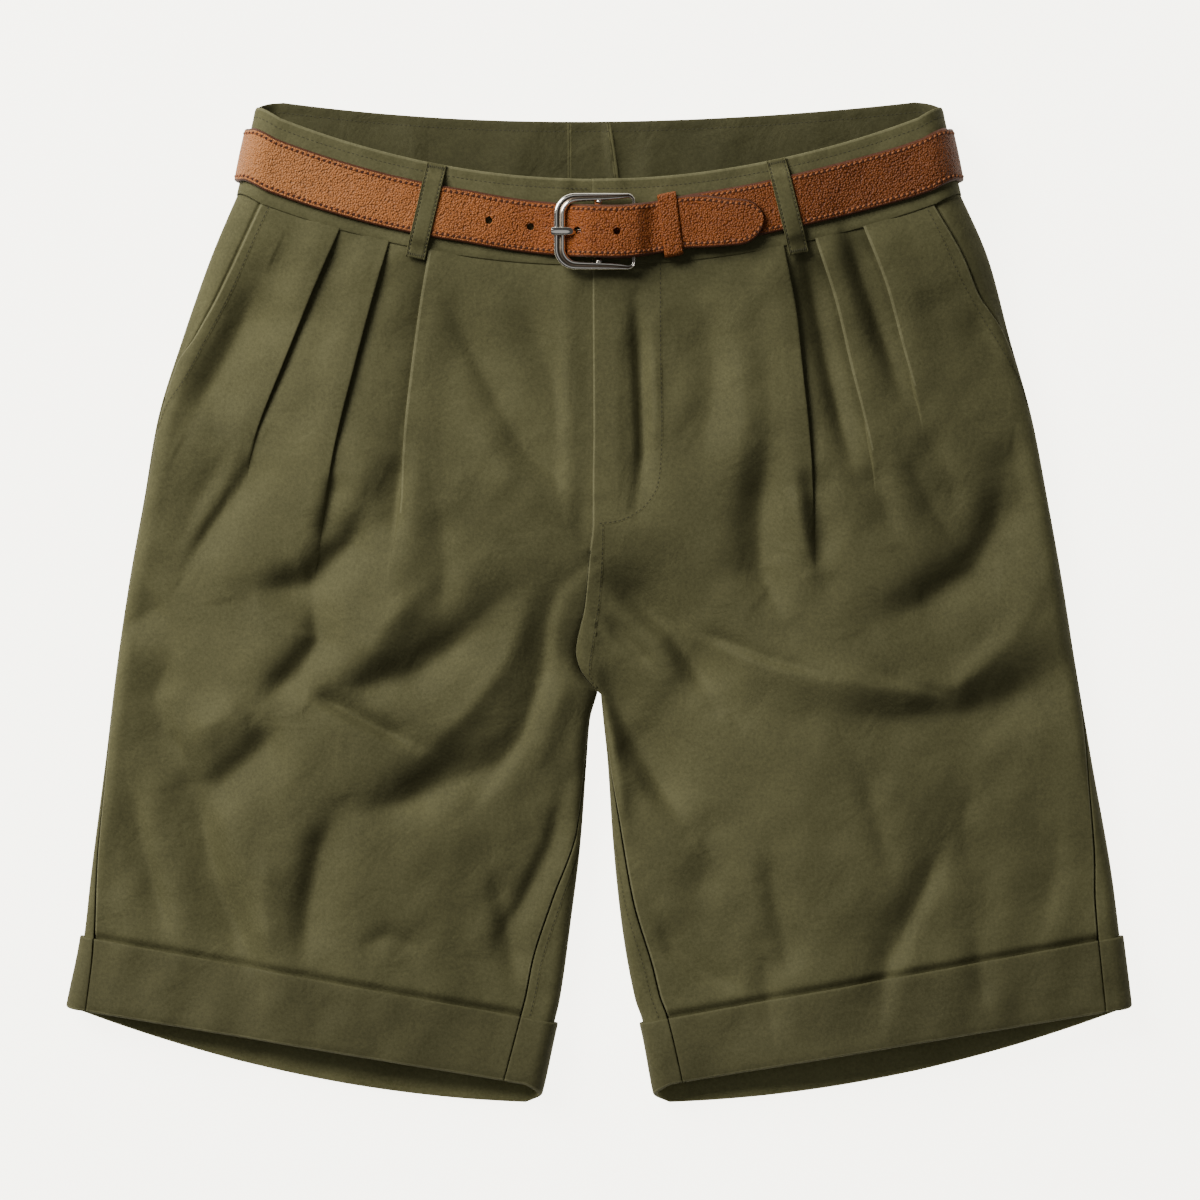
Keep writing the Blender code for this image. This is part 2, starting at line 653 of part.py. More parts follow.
def waistband_half(side, name):
    """From the centre front round the side to the centre back; the right end runs under the left."""
    rows = []
    for level in (*BAND_LEVELS, -GAP / 2 / BAND_HEIGHT):
        section = Section(side, level)
        front, back = section.girth(), section.girth(back=True)
        turn = math.pi / 2 * section.radius
        if side == RIGHT:
            row = [section.front(front + aside, -CLOTH - GAP) for aside in (UNDERLAP, -UNDERLAP)]
            row.append(section.front(front - BAND_SUNK_COLUMN))
        else:
            row = [section.front(front), section.front(front - BAND_END_COLUMN)]
        row += [section.front(girth) for girth in evenly(front - FIRST_COLUMN, turn, FRONT_COLUMNS)]
        row += [section.front(girth) for girth in evenly(turn, -turn, SIDE_COLUMNS)[1:]]
        row += [section.back(girth) for girth in evenly(turn, back, UNDER_COLUMNS)[1:]]
        rows.append(row)
    sheet(name, rows, CLOTH, "olive_twill")


def cuff(side, back, name):
    """The turned-up end of one panel, outside the leg."""
    out = CLOTH / 2 + GAP + CUFF_CLOTH / 2
    rows = []
    for level in (CUFF_LEVEL, CUFF_MIDDLE_LEVEL, 1.0):
        section = Section(side, level)
        whole, under = section.girth(), section.girth(back=True)
        outer = section.girth_at(look_up(OUTER_SEAM, level, by_side(side)))
        inner = section.girth_at(look_up(INNER_SEAM, level, by_side(side)))
        if back:
            girths = wrapped_girths(section, SEAM - outer, under + inner - SEAM)
            rows.append([section.back(girth, out) for girth in girths])
        else:
            girths = evenly(outer + SEAM, whole - inner - SEAM, CUFF_COLUMNS)
            rows.append([section.front(girth, out) for girth in girths])
    sheet(name, rows, CUFF_CLOTH, "olive_twill")


def belt_loop(name, x_top, x_bottom, back):
    rows = []
    for below_rim, out in LOOP_PROFILE:
        x = mix(x_top, x_bottom, below_rim / LOOP_PROFILE[-1][0])
        rows.append(
            [waist_point(x + aside, below_rim, out, back) for aside in (-LOOP_WIDTH / 2, LOOP_WIDTH / 2)]
        )
    sheet(name, rows, CLOTH, "olive_twill")


# Belt

def strap_row(points_at, half_width, droop=0.0):
    middle = STRAP_BELOW_RIM + STRAP_WIDTH / 2 + droop
    return [points_at(middle + share * half_width) for share in (-1.0, 0.0, 1.0)]


def beside_a_column(side, share, out):
    """Point maker over the waistband's front columns: 0 near the centre, 1 at the fold."""
    def point(below_rim):
        section = Section(side, level_below_rim(below_rim))
        turn = math.pi / 2 * section.radius
        return section.front(mix(section.girth() - FIRST_COLUMN, turn, share), out)
    return point


def round_the_side(side, girth, out):
    """Point maker for a girth round one side of the waist: below the rim -> point."""
    def point(below_rim):
        return Section(side, level_below_rim(below_rim)).front(girth, out)
    return point


def on_the_front(x, out):
    def point(below_rim):
        return waist_point(x, below_rim, out)
    return point


def on_the_back(x, out):
    def point(below_rim):
        return waist_point(x, below_rim, out, back=True)
    return point


def belt_strap():
    """One strap: from its tip over the buckle, round the waist and back under the tip."""
    tip_x = TIP_STRETCH[0][0]
    rows = []
    for x, out in TIP_STRETCH:
        from_tip = tip_x - x
        droop = TIP_DROOP * smooth((x - KEEPER_X) / (tip_x - KEEPER_X))
        half = mix(STRAP_WIDTH, TIP_WIDTH, smooth((x - TIP_TAPER_X) / TIP_TAPER)) / 2
        if from_tip < TIP_ROUND:
            half *= max(math.sqrt(1 - (1 - from_tip / TIP_ROUND) ** 2), TIP_END_SHARE)
        rows.append(strap_row(on_the_front(x, out), half, droop))
    half = STRAP_WIDTH / 2
    flat_x = SEAM_HALF_WIDTH - SIDE_TURN
    turn = math.pi / 2 * look_up(HEIGHTS, 0.0, 1)
    shares = evenly(0.0, 1.0, FRONT_COLUMNS)[1:-1]
    under_tip = FRONT_COLUMNS // 2
    for share in shares:
        rows.append(strap_row(beside_a_column(RIGHT, share, STRAP_OUT), half))
    for girth in evenly(turn, -turn, SIDE_COLUMNS):
        rows.append(strap_row(round_the_side(RIGHT, girth, STRAP_OUT), half))
    for x in evenly(-flat_x, flat_x, BELT_BACK_COLUMNS):
        rows.append(strap_row(on_the_back(x, STRAP_OUT), half))
    for girth in evenly(-turn, turn, SIDE_COLUMNS):
        rows.append(strap_row(round_the_side(LEFT, girth, STRAP_OUT), half))
    for share in reversed(shares[under_tip - 1:]):
        rows.append(strap_row(beside_a_column(LEFT, share, STRAP_OUT), half))
    for x, out in UNDER_STRETCH:
        rows.append(strap_row(on_the_front(x, out), half))
    strap = sheet("belt_strap", rows, STRAP_THICKNESS, "tan_leather")
    for x in HOLES_X:
        cut(strap, hole_cutter(x, HOLE_RADIUS, 0.0))
    cut(strap, hole_cutter(SLOT_X, SLOT_WIDTH / 2, SLOT_LENGTH - SLOT_WIDTH))


def hole_cutter(x, radius, stretch):
    """An upright cutter through the strap's upper stretch; stretch makes it a slot along x."""
    heights = [out for place, out in TIP_STRETCH if abs(place - x) < CUTTER_REACH] or [STRAP_OUT]
    bm = bmesh.new()
    bmesh.ops.create_cone(
        bm, cap_ends=True, segments=16, radius1=radius * MM, radius2=radius * MM,
        depth=(max(heights) - min(heights) + CUTTER_MARGIN + STRAP_THICKNESS) * MM,
    )
    for vert in bm.verts:
        vert.co.x += math.copysign(stretch / 2 * MM, vert.co.x)
    mesh = bpy.data.meshes.new("hole_cutter")
    bm.to_mesh(mesh)
    bm.free()
    cutter = bpy.data.objects.new("hole_cutter", mesh)
    middle = STRAP_BELOW_RIM + STRAP_WIDTH / 2
    cutter.location = waist_point(x, middle, (max(heights) + min(heights)) / 2) * MM
    cutter.hide_render = True
    cutter.display_type = "WIRE"
    bpy.data.collections["cutters"].objects.link(cutter)
    return cutter


def cut(obj, cutter):
    boolean = obj.modifiers.new("hole", "BOOLEAN")
    boolean.operation = "DIFFERENCE"
    boolean.object = cutter


def belt_point(x, up, out):
    """Point at the buckle: across, up from the strap's middle line, off the waistband."""
    base = waist_point(FRAME_X, STRAP_BELOW_RIM + STRAP_WIDTH / 2, out)
    return Vector((x, base.y + up, base.z))


def buckle_frame():
    half_x = FRAME_WIDTH / 2 - FRAME_WIRE
    half_y = FRAME_HEIGHT / 2 - FRAME_WIRE
    corners = (
        (1, 1, 0, FRAME_SHARP_CORNER), (-1, 1, 90, FRAME_CORNER),
        (-1, -1, 180, FRAME_CORNER), (1, -1, 270, FRAME_SHARP_CORNER),
    )
    points = []
    for x_sign, y_sign, start, radius in corners:
        for k in range(7):
            angle = math.radians(start + 15 * k)
            x = x_sign * (half_x - radius) + radius * math.cos(angle)
            y = y_sign * (half_y - radius) + radius * math.sin(angle)
            points.append(belt_point(FRAME_X + x, y, FRAME_OUT))
    wire("buckle_frame", points, FRAME_WIRE, "polished_steel", closed=True)


def buckle_bar():
    """The bar between the rails, with a knob at each end: a turned profile."""
    end = FRAME_HEIGHT / 2 - 2 * FRAME_WIRE - GAP
    knob = end - KNOB_LENGTH
    shaft = knob - KNOB_CONE
    profile = ((0.0, end), (BAR_KNOB, end), (BAR_KNOB, knob), (BAR_RADIUS, shaft),
               (BAR_RADIUS, -shaft), (BAR_KNOB, -knob), (BAR_KNOB, -end), (0.0, -end))
    bm = bmesh.new()
    verts = [bm.verts.new((radius * MM, 0.0, height * MM)) for radius, height in profile]
    for first, second in zip(verts, verts[1:]):
        bm.edges.new((first, second))
    mesh = bpy.data.meshes.new("buckle_bar")
    bm.to_mesh(mesh)
    bm.free()
    obj = add_object("buckle_bar", mesh, "polished_steel")
    turned = obj.modifiers.new("turned", "SCREW")
    turned.steps = turned.render_steps = BAR_SIDES
    turned.use_merge_vertices = True
    turned.merge_threshold = BAR_MERGE
    obj.location = belt_point(0.0, 0.0, FRAME_OUT) * MM
    obj.rotation_euler.x = math.radians(-90)


def prong():
    points = [belt_point(x, 0.0, out) for x, out in PRONG_ROUTE]
    wire("buckle_prong", points, PRONG_WIRE, "polished_steel")


def strap_fold():
    """The strap's skived end, folded round the bar, with a slot for the prong."""
    radius = BAR_RADIUS + GAP + FOLD_WALL / 2
    half, half_slot = FOLD_LENGTH / 2, FOLD_SLOT / 2
    between = FOLD_COLUMN_SHARE * half
    columns = (-half, -between, -half_slot, half_slot, between, half)
    rows = []
    for turn in evenly(FOLD_START, FOLD_END, FOLD_STEPS):
        x, out = radius * math.cos(math.radians(turn)), radius * math.sin(math.radians(turn))
        rows.append([belt_point(x, up, FRAME_OUT + out) for up in columns])
    slot = {(k, 2) for k in range(2, FOLD_STEPS - 1)}
    sheet("belt_bar_fold", rows, FOLD_WALL, "tan_leather", skip=slot)


def keeper():
    """A closed leather band round both layers of the strap."""
    low = UNDER_STRAP_OUT - STRAP_THICKNESS / 2 - GAP - KEEPER_WALL / 2
    high = TIP_OUT + STRAP_THICKNESS / 2 + GAP + KEEPER_WALL / 2
    ring = []
    for up_sign, out_sign, start in ((1, 1, 0), (-1, 1, 90), (-1, -1, 180), (1, -1, 270)):
        for turn in CORNER_TURNS:
            angle = math.radians(start + turn)
            up = up_sign * (KEEPER_HALF_HEIGHT - KEEPER_CORNER) + KEEPER_CORNER * math.cos(angle)
            out = (low + high) / 2 + out_sign * ((high - low) / 2 - KEEPER_CORNER)
            out += KEEPER_CORNER * math.sin(angle)
            ring.append((up, out))
    rows = []
    for up, out in ring:
        row = []
        for aside in (-0.5, 0.5):
            x = KEEPER_X + aside * KEEPER_WIDTH - KEEPER_LEAN * up
            row.append(waist_point(x, STRAP_BELOW_RIM + STRAP_WIDTH / 2 - up, out))
        rows.append(row)
    sheet("belt_keeper", rows, KEEPER_WALL, "tan_leather", closed=True)


def build():
    for obj in list(bpy.data.objects):
        bpy.data.objects.remove(obj)
    for name in (COLLECTION, "cutters"):
        bpy.context.scene.collection.children.link(bpy.data.collections.new(name))
    for side, word in ((RIGHT, "right"), (LEFT, "left")):
        front_panel(side, f"front_panel_{word}")
        back_panel(side, f"back_panel_{word}")
        pocket_facing(side, f"pocket_facing_{word}")
        waistband_half(side, f"waistband_{word}")
        cuff(side, False, f"cuff_front_{word}")
        cuff(side, True, f"cuff_back_{word}")
    fly_zip()
    for name, (x_top, x_bottom) in FRONT_LOOPS.items():
        belt_loop(name, x_top, x_bottom, back=False)
    for name, (x_top, x_bottom) in BACK_LOOPS.items():
        belt_loop(name, x_top, x_bottom, back=True)
    belt_strap()
    strap_fold()
    buckle_frame()
    buckle_bar()
    prong()
    keeper()


build()
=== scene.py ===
import functools
import math

import bpy
import numpy as np
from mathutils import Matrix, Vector
from mathutils.bvhtree import BVHTree


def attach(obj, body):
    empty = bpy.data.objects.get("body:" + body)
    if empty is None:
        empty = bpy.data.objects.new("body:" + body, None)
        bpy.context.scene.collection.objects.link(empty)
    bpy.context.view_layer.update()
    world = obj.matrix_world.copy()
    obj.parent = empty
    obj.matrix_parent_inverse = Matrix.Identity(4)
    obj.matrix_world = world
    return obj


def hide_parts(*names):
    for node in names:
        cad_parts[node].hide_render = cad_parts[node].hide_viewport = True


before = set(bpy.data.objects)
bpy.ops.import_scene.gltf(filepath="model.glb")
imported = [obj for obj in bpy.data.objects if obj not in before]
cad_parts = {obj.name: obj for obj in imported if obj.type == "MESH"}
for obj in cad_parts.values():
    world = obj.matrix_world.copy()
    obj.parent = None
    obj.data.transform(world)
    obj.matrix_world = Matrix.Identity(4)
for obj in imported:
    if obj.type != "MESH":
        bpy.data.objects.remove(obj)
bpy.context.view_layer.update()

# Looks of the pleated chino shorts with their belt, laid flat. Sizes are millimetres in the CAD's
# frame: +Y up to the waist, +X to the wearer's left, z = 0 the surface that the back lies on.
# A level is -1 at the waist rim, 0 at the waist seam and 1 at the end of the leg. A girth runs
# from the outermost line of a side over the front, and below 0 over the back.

MM = 0.001
RIGHT, LEFT = -1, 1

# Cut and lie of the cloth
BAND_HEIGHT, PANEL_LENGTH = 52.4, 503.0
RIM_HALF_WIDTH, SEAM_HALF_WIDTH = 212.0, 223.0
SIDE_SEAM_TOP_Y, LEG_END_Y, FORK_Y, FORK_LEVEL, CUFF_LEVEL = 252.0, 305.5, -56.0, 0.5156, 0.912
FRONT_DIP, BACK_RISE, BACK_DIP = 44.0, 8.0, 14.0
HEM_BACK_DROP, HEM_FRONT_RISE, HEM_BACK_FALL = 13.0, 6.0, 5.0
CLOTH, SEAM, CROWN_RUN, POCKET_STEP = 1.2, 0.3, 0.5, 1.8
ZIP_X, ZIP_REACH, ZIP_END_Y, DIP_OVER_ZIP = -4.0, 24.0, 55.0, -1.0

# Belt
STRAP_WIDTH, STRAP_THICKNESS, STRAP_BELOW_RIM = 32.5, 3.2, 12.7
TIP_WIDTH, TIP_ROUND, TIP_DROOP = 28.0, 15.0, 7.0
STRAP_OUT, UNDER_STRAP_OUT = 2.55, 4.0
HOLES_X, HOLE_RADIUS = (-67.6, -42.0, -13.3, 10.9, 40.5), 2.2
FRAME_X, FRAME_WIDTH, FRAME_HEIGHT, FRAME_OUT = -2.8, 50.0, 47.0, 7.7
KEEPER_X, KEEPER_WIDTH, KEEPER_HALF_HEIGHT, KEEPER_LEAN = 43.7, 11.5, 19.2, 0.12
LOOP_WIDTH = 12.0

# level, radius of the folded edge, crown of the front above it, lift of the back
HEIGHTS = (
    (-1.00, 16.0, 3.0, 5.0), (0.00, 16.0, 3.0, 5.0), (0.08, 14.5, 6.0, 1.6),
    (0.13, 13.0, 9.0, 0.0), (0.30, 11.0, 14.0, 0.0), (0.52, 9.5, 14.0, 0.0),
    (0.75, 8.5, 11.0, 0.0), (0.84, 8.2, 9.5, 0.0), (0.91, 8.0, 8.0, 2.3), (1.00, 8.0, 7.0, 2.3),
)
# y, half width of the wearer's right and left
OUTER_LINE = (
    (-252.0, 328.5, 328.5), (-205.0, 319.0, 322.5), (-172.0, 315.5, 318.5), (-98.0, 306.0, 305.5),
    (-36.0, 298.5, 295.0), (14.0, 291.0, 287.0), (64.0, 282.0, 278.0), (113.0, 273.5, 268.5),
    (163.0, 258.0, 254.5), (212.0, 240.5, 241.0), (252.0, 223.0, 223.0),
)
# y, x of the centre front line and of the centre back seam, down to the fork
FRONT_LINE = (
    (-56.0, -0.6), (-40.0, -12.5), (-31.0, -14.5), (-2.0, -8.7), (29.0, -5.6), (49.0, -3.6),
    (208.0, -4.3),
)
BACK_LINE = ((-56.0, -0.6), (-30.0, -4.0), (80.0, -10.0), (246.0, -18.3))
# y, distance of each leg's inner edge from the middle: wearer's right, left
INNER_LINE = (
    (-305.0, 38.8, 37.0), (-258.0, 27.0, 26.5), (-246.0, 24.2, 22.3), (-197.0, 17.3, 13.6),
    (-147.0, 11.2, 8.5), (-98.0, 7.6, 5.2), (-73.0, 5.6, 2.6), (-56.0, 0.9, 0.9),
)
# level, how far the front's outer and inner seams lie inside the outline: wearer's right, left
OUTER_SEAM = (
    (0.00, 15.0, 17.0), (0.06, 14.4, 14.3), (0.11, 12.5, 12.4), (0.17, 7.0, 2.5), (0.21, 1.5, 0.4),
    (0.60, 0.4, 0.5), (0.80, 2.5, 8.5), (0.87, 5.0, 13.0), (1.00, 11.0, 15.0),
)
INNER_SEAM = (
    (0.5156, 0.0, 0.0), (0.60, 0.8, 1.0), (0.68, 2.6, 5.0), (0.77, 13.0, 9.0), (0.86, 20.5, 15.0),
    (1.00, 21.5, 16.0),
)
POCKET_END = {RIGHT: 0.27, LEFT: 0.21}

# Pleats from the outside in: x at the waist seam, x and y at the end, side of the upper layer
OUTWARD, INWARD = -1, 1
PLEATS = {
    RIGHT: ((-159.3, -217.0, 85.0, OUTWARD), (-129.0, -171.7, 45.0, OUTWARD),
            (-104.5, -124.6, 45.0, INWARD)),
    LEFT: ((162.4, 197.8, 119.0, OUTWARD), (132.7, 169.3, 84.0, OUTWARD),
           (113.5, 132.0, 38.0, INWARD)),
}
PLEAT_STEP, PLEAT_FADE, PLEAT_HOLLOW = 1.25, 20.0, 13.0
# Columns through an outward pleat: distance from its edge folded, and opened, rise in steps
PLEAT_FOLD = (
    (-9.0, -9.0, 2.0), (-6.0, -6.0, 2.0), (-3.5, -3.5, 2.0), (-1.6, -1.8, 2.0), (-0.5, -1.0, 1.95),
    (0.0, -0.7, 1.75), (0.1, -0.5, 1.45), (-0.3, -0.3, 1.15), (-1.6, -0.1, 1.0), (-4.0, 0.1, 0.9),
    (-7.0, 0.3, 0.8), (-8.0, 0.5, 0.6), (-8.0, 0.7, 0.35), (-7.2, 0.9, 0.05), (-4.5, 1.2, 0.0),
    (-2.0, 1.6, 0.0), (0.0, 2.1, 0.0), (1.6, 2.8, 0.0), (3.2, 3.8, 0.0), (5.0, 5.0, 0.0),
)

# Folds of the front: half width, depth (below 0 for a ridge), lean of the steeper wall, route
FOLDS = (
    # Wearer's right leg
    (9.0, 7.5, 0.3, ((-208.9, 96.4), (-222.6, 69.8), (-239.9, 45.0), (-255.4, 20.1))),
    (8.0, 6.0, 0.3, ((-160.6, 82.2), (-166.2, 57.4), (-171.7, 33.8))),
    (10.0, 7.5, -0.3, ((-122.1, 94.5), (-125.9, 63.5), (-128.3, 35.6))),
    (15.0, 14.5, 0.2, ((-140.7, 60.5), (-153.1, 35.6), (-179.2, 12.1), (-214.5, 4.7))),
    (12.0, 11.0, 0.2, ((-177.9, 6.5), (-173.0, -22.6), (-186.0, -41.9), (-208.9, -64.2))),
    (6.0, 8.5, 0.3, ((-181.7, -54.2), (-163.7, -62.9), (-147.6, -71.6), (-112.2, -89.0))),
    (13.0, 9.2, 0.1, ((-71.3, -17.1), (-115.9, -45.0), (-163.7, -55.5))),
    (13.0, 5.5, 0.0, ((-300.1, -18.3), (-284.6, -10.8), (-267.2, 1.6))),
    (12.0, 5.6, -0.2, ((-264.7, -29.4), (-274.7, -59.2), (-269.7, -80.9), (-251.1, -98.9))),
    (15.0, 9.5, 0.2, ((-191.6, -75.3), (-216.4, -97.7), (-233.1, -111.3), (-253.6, -113.8))),
    (18.0, 7.5, 0.1, ((-70.1, -89.0), (-98.6, -107.6), (-126.5, -127.4))),
    (13.0, 5.8, -0.2, ((-99.8, 63.5), (-94.9, 26.4), (-98.6, -12.1))),
    (13.0, 4.6, 0.1, ((-40.3, 17.7), (-67.6, -5.9), (-88.7, -22.6), (-135.8, -46.2))),
    (8.0, 5.0, -0.4, ((-8.1, 25.1), (-26.7, 6.5), (-32.9, -13.9), (-34.7, -41.9),
        (-47.1, -80.9), (-82.5, -129.9))),
    (9.0, -4.0, 0.0, ((-44.0, 1.6), (-56.4, -35.6), (-80.0, -66.7), (-107.9, -91.5))),
    (10.0, -4.2, 0.0, ((-16.7, -40.6), (-29.1, -72.8), (-40.9, -107.0))),
    (14.0, -6.5, 0.0, ((-111.0, 7.8), (-132.7, -17.1), (-148.2, -40.6))),
    (16.0, -5.5, 0.0, ((-216.4, -60.5), (-238.1, -74.1), (-253.6, -82.2))),
    (16.0, 9.8, 0.3, ((-206.5, 199.9), (-227.5, 156.6), (-252.3, 110.0))),
    (12.0, 4.6, 0.0, ((-225.1, 100.8), (-247.4, 63.5), (-262.3, 26.4))),
    (10.0, 4.6, 0.2, ((-96.1, 192.5), (-72.5, 144.2), (-45.9, 94.5), (-6.8, 63.5))),
    (12.0, 4.0, -0.2, ((-49.0, 187.6), (-29.1, 137.9), (-15.5, 100.8))),
    (12.0, -4.6, 0.0, ((-80.0, 113.2), (-53.9, 76.0), (-24.2, 51.1))),
    (12.0, 9.0, 0.2, ((-160.0, -128.0), (-172.0, -152.0), (-180.0, -190.0), (-181.0, -226.0))),
    (16.0, 14.0, -0.3, ((-256.0, -100.0), (-246.0, -140.0), (-236.0, -176.0), (-222.0, -212.0),
        (-212.0, -236.0))),
    (9.0, 5.6, -0.2, ((-290.0, -112.0), (-284.0, -145.0), (-276.0, -178.0), (-264.0, -212.0))),
    (10.0, 5.0, 0.2, ((-66.0, -160.0), (-58.0, -196.0), (-50.0, -240.0))),
    (12.0, 7.0, 0.0, ((-152.0, -131.0), (-120.0, -123.0), (-88.0, -110.0), (-50.0, -94.0))),
    (8.0, 4.6, 0.3, ((-20.0, -112.0), (-30.0, -150.0), (-48.0, -188.0), (-62.0, -210.0))),
    (7.0, 2.8, 0.0, ((-110.0, -215.0), (-130.0, -206.0), (-150.0, -214.0))),
    (12.0, -5.0, 0.0, ((-205.0, -150.0), (-207.0, -185.0), (-204.0, -222.0))),
    # Wearer's left leg
    (30.0, 7.0, -0.4, ((12.0, -112.0), (64.0, -48.0), (84.0, -20.0))),
    (15.0, 14.0, 0.4, ((0.6, 25.1), (20.5, 5.3), (45.9, -17.7), (73.8, -60.5))),
    (5.0, 4.5, 0.2, ((1.9, -6.5), (16.1, -23.2), (36.6, -43.1))),
    (15.0, 13.0, 0.4, ((2.5, -32.5), (9.9, -60.5), (22.3, -89.0), (56.4, -139.8))),
    (7.0, -5.5, 0.0, ((4.3, -69.8), (8.7, -103.8), (15.5, -141.1))),
    (13.0, 11.0, -0.1, ((104.8, 100.8), (99.8, 63.5), (98.6, 21.4), (115.9, -13.9))),
    (8.0, -6.5, 0.0, ((121.5, 76.0), (125.9, 45.0), (132.1, 18.9))),
    (11.0, 4.5, 0.2, ((189.7, 91.5), (207.0, 58.0), (226.0, 30.0))),
    (17.0, 11.0, -0.2, ((170.0, -14.0), (200.0, -1.0), (230.0, 18.0), (246.0, 46.0),
        (252.0, 84.0))),
    (14.0, -6.0, 0.3, ((283.3, 22.6), (256.1, -23.2), (220.7, -54.2), (173.6, -54.2),
        (109.7, -38.1), (58.9, -18.3))),
    (5.0, 5.5, 0.3, ((61.4, -17.1), (102.3, -33.8), (144.5, -45.6))),
    (5.0, 2.9, 0.2, ((171.7, -41.9), (192.8, -50.5), (217.6, -56.7))),
    (19.0, 10.4, 0.1, ((294.5, -32.5), (268.5, -54.2), (228.8, -67.9), (189.1, -71.6),
        (137.0, -67.9))),
    (10.0, 5.8, 0.2, ((128.3, 88.3), (132.1, 57.4), (137.0, 17.1))),
    (11.0, 4.6, -0.2, ((166.8, 88.3), (174.2, 63.5), (184.1, 35.6))),
    (11.0, 3.8, -0.2, ((200.3, 110.0), (213.9, 82.2), (223.8, 51.1))),
    (14.0, 4.5, -0.3, ((223.8, 187.6), (242.4, 156.6), (257.9, 125.5))),
    (14.0, 3.2, 0.0, ((254.8, 107.0), (261.0, 69.8), (254.8, 38.8))),
    (6.0, 7.5, 0.3, ((22.9, 187.6), (25.4, 137.9), (27.3, 94.5), (22.9, 57.4))),
    (5.0, -3.4, 0.0, ((31.6, 168.9), (34.1, 125.5), (31.6, 82.2))),
    (16.0, 6.3, 0.0, ((62.6, 187.6), (71.9, 137.9), (62.6, 88.3))),
    (16.0, -5.8, 0.0, ((84.3, 168.9), (90.5, 113.2), (84.3, 63.5))),
    (8.0, 7.5, 0.1, ((124.0, 232.0), (131.0, 195.0), (140.0, 150.0), (149.0, 112.0),
        (158.0, 76.0))),
    (8.0, 6.5, 0.1, ((150.0, 238.0), (162.0, 200.0), (176.0, 160.0), (187.0, 128.0))),
    (10.0, 4.2, 0.2, ((102.0, -212.0), (108.0, -272.0))),
    (10.0, 3.8, -0.2, ((180.0, -205.0), (172.0, -262.0))),
    (9.0, 3.4, 0.0, ((233.0, -205.0), (238.0, -252.0))),
    (10.0, 5.6, 0.2, ((104.0, -150.0), (110.0, -186.0), (120.0, -238.0))),
    (11.0, 6.6, -0.3, ((212.0, -148.0), (203.0, -172.0), (188.0, -203.0), (174.0, -236.0))),
    (10.0, 2.8, 0.0, ((285.0, -130.0), (283.0, -165.0), (274.0, -205.0))),
    (8.0, 4.2, 0.2, ((34.0, -188.0), (46.0, -214.0), (66.0, -230.0), (92.0, -240.0))),
    (16.0, 4.5, 0.0, ((72.0, -120.0), (68.0, -155.0), (60.0, -192.0))),
    (11.0, 4.0, 0.2, ((152.0, -88.0), (166.0, -112.0), (174.0, -140.0), (181.0, -172.0))),
    (12.0, 3.2, 0.0, ((232.0, -110.0), (224.0, -140.0), (232.0, -170.0))),
)
# Folds of the back, which rise off the surface: half width, height, lean, route
BACK_FOLDS = (
    (3.0, 3.0, 0.5, ((4.0, 300.0), (7.0, 275.0), (11.0, 255.0))),
    (9.0, -2.0, 0.0, ((-6.0, 296.0), (-4.0, 262.0))),
    (10.0, 2.4, 0.3, ((36.0, 290.0), (24.0, 250.0))),
    (12.0, 2.0, -0.2, ((-42.0, 300.0), (-54.0, 268.0), (-60.0, 248.0))),
    (14.0, 1.8, 0.2, ((-120.0, 302.0), (-112.0, 266.0))),
    (16.0, 2.0, 0.0, ((86.0, 300.0), (70.0, 262.0))),
    (15.0, 1.6, 0.0, ((140.0, 306.0), (128.0, 276.0))),
    (10.0, 2.4, 0.0, ((-230.0, -235.0), (-222.0, -290.0))),
    (10.0, 2.6, 0.0, ((-150.0, -240.0), (-156.0, -300.0))),
    (10.0, 2.4, 0.0, ((-92.0, -250.0), (-84.0, -305.0))),
    (10.0, 2.6, 0.0, ((108.0, -250.0), (100.0, -305.0))),
    (10.0, 2.4, 0.0, ((190.0, -240.0), (198.0, -300.0))),
    (14.0, 1.2, 0.2, ((-20.0, 60.0), (-90.0, -30.0), (-140.0, -60.0))),
    (14.0, 1.2, 0.2, ((20.0, 60.0), (90.0, -30.0), (150.0, -70.0))),
)


def smooth(t):
    t = np.clip(t, 0.0, 1.0)
    return t * t * (3 - 2 * t)


def mix(a, b, t):
    return a + (b - a) * t


def hermite(t, run, start, start_slope, end, end_slope):
    """A share of the way along a smooth span between two values with their slopes."""
    return (
        (2 * t**3 - 3 * t**2 + 1) * start
        + (t**3 - 2 * t**2 + t) * run * start_slope
        + (3 * t**2 - 2 * t**3) * end
        + (t**3 - t**2) * run * end_slope
    )


def look_up(table, at, column):
    """A table's column at a place between its rows, on a smooth curve that never overshoots."""
    keys = [row[0] for row in table]
    values = [row[column] for row in table]
    if at <= keys[0]:
        return values[0]
    if at >= keys[-1]:
        return values[-1]
    i = max(k for k in range(len(keys) - 1) if keys[k] <= at)
    slopes = [(values[k + 1] - values[k]) / (keys[k + 1] - keys[k]) for k in range(len(keys) - 1)]

    def tangent(k):
        if k in (0, len(keys) - 1):
            return slopes[min(k, len(slopes) - 1)]
        before, after = slopes[k - 1], slopes[k]
        return 0.0 if before * after <= 0 else 2 * before * after / (before + after)

    run = keys[i + 1] - keys[i]
    return hermite((at - keys[i]) / run, run, values[i], tangent(i), values[i + 1], tangent(i + 1))


def by_side(side):
    return 1 if side == RIGHT else 2


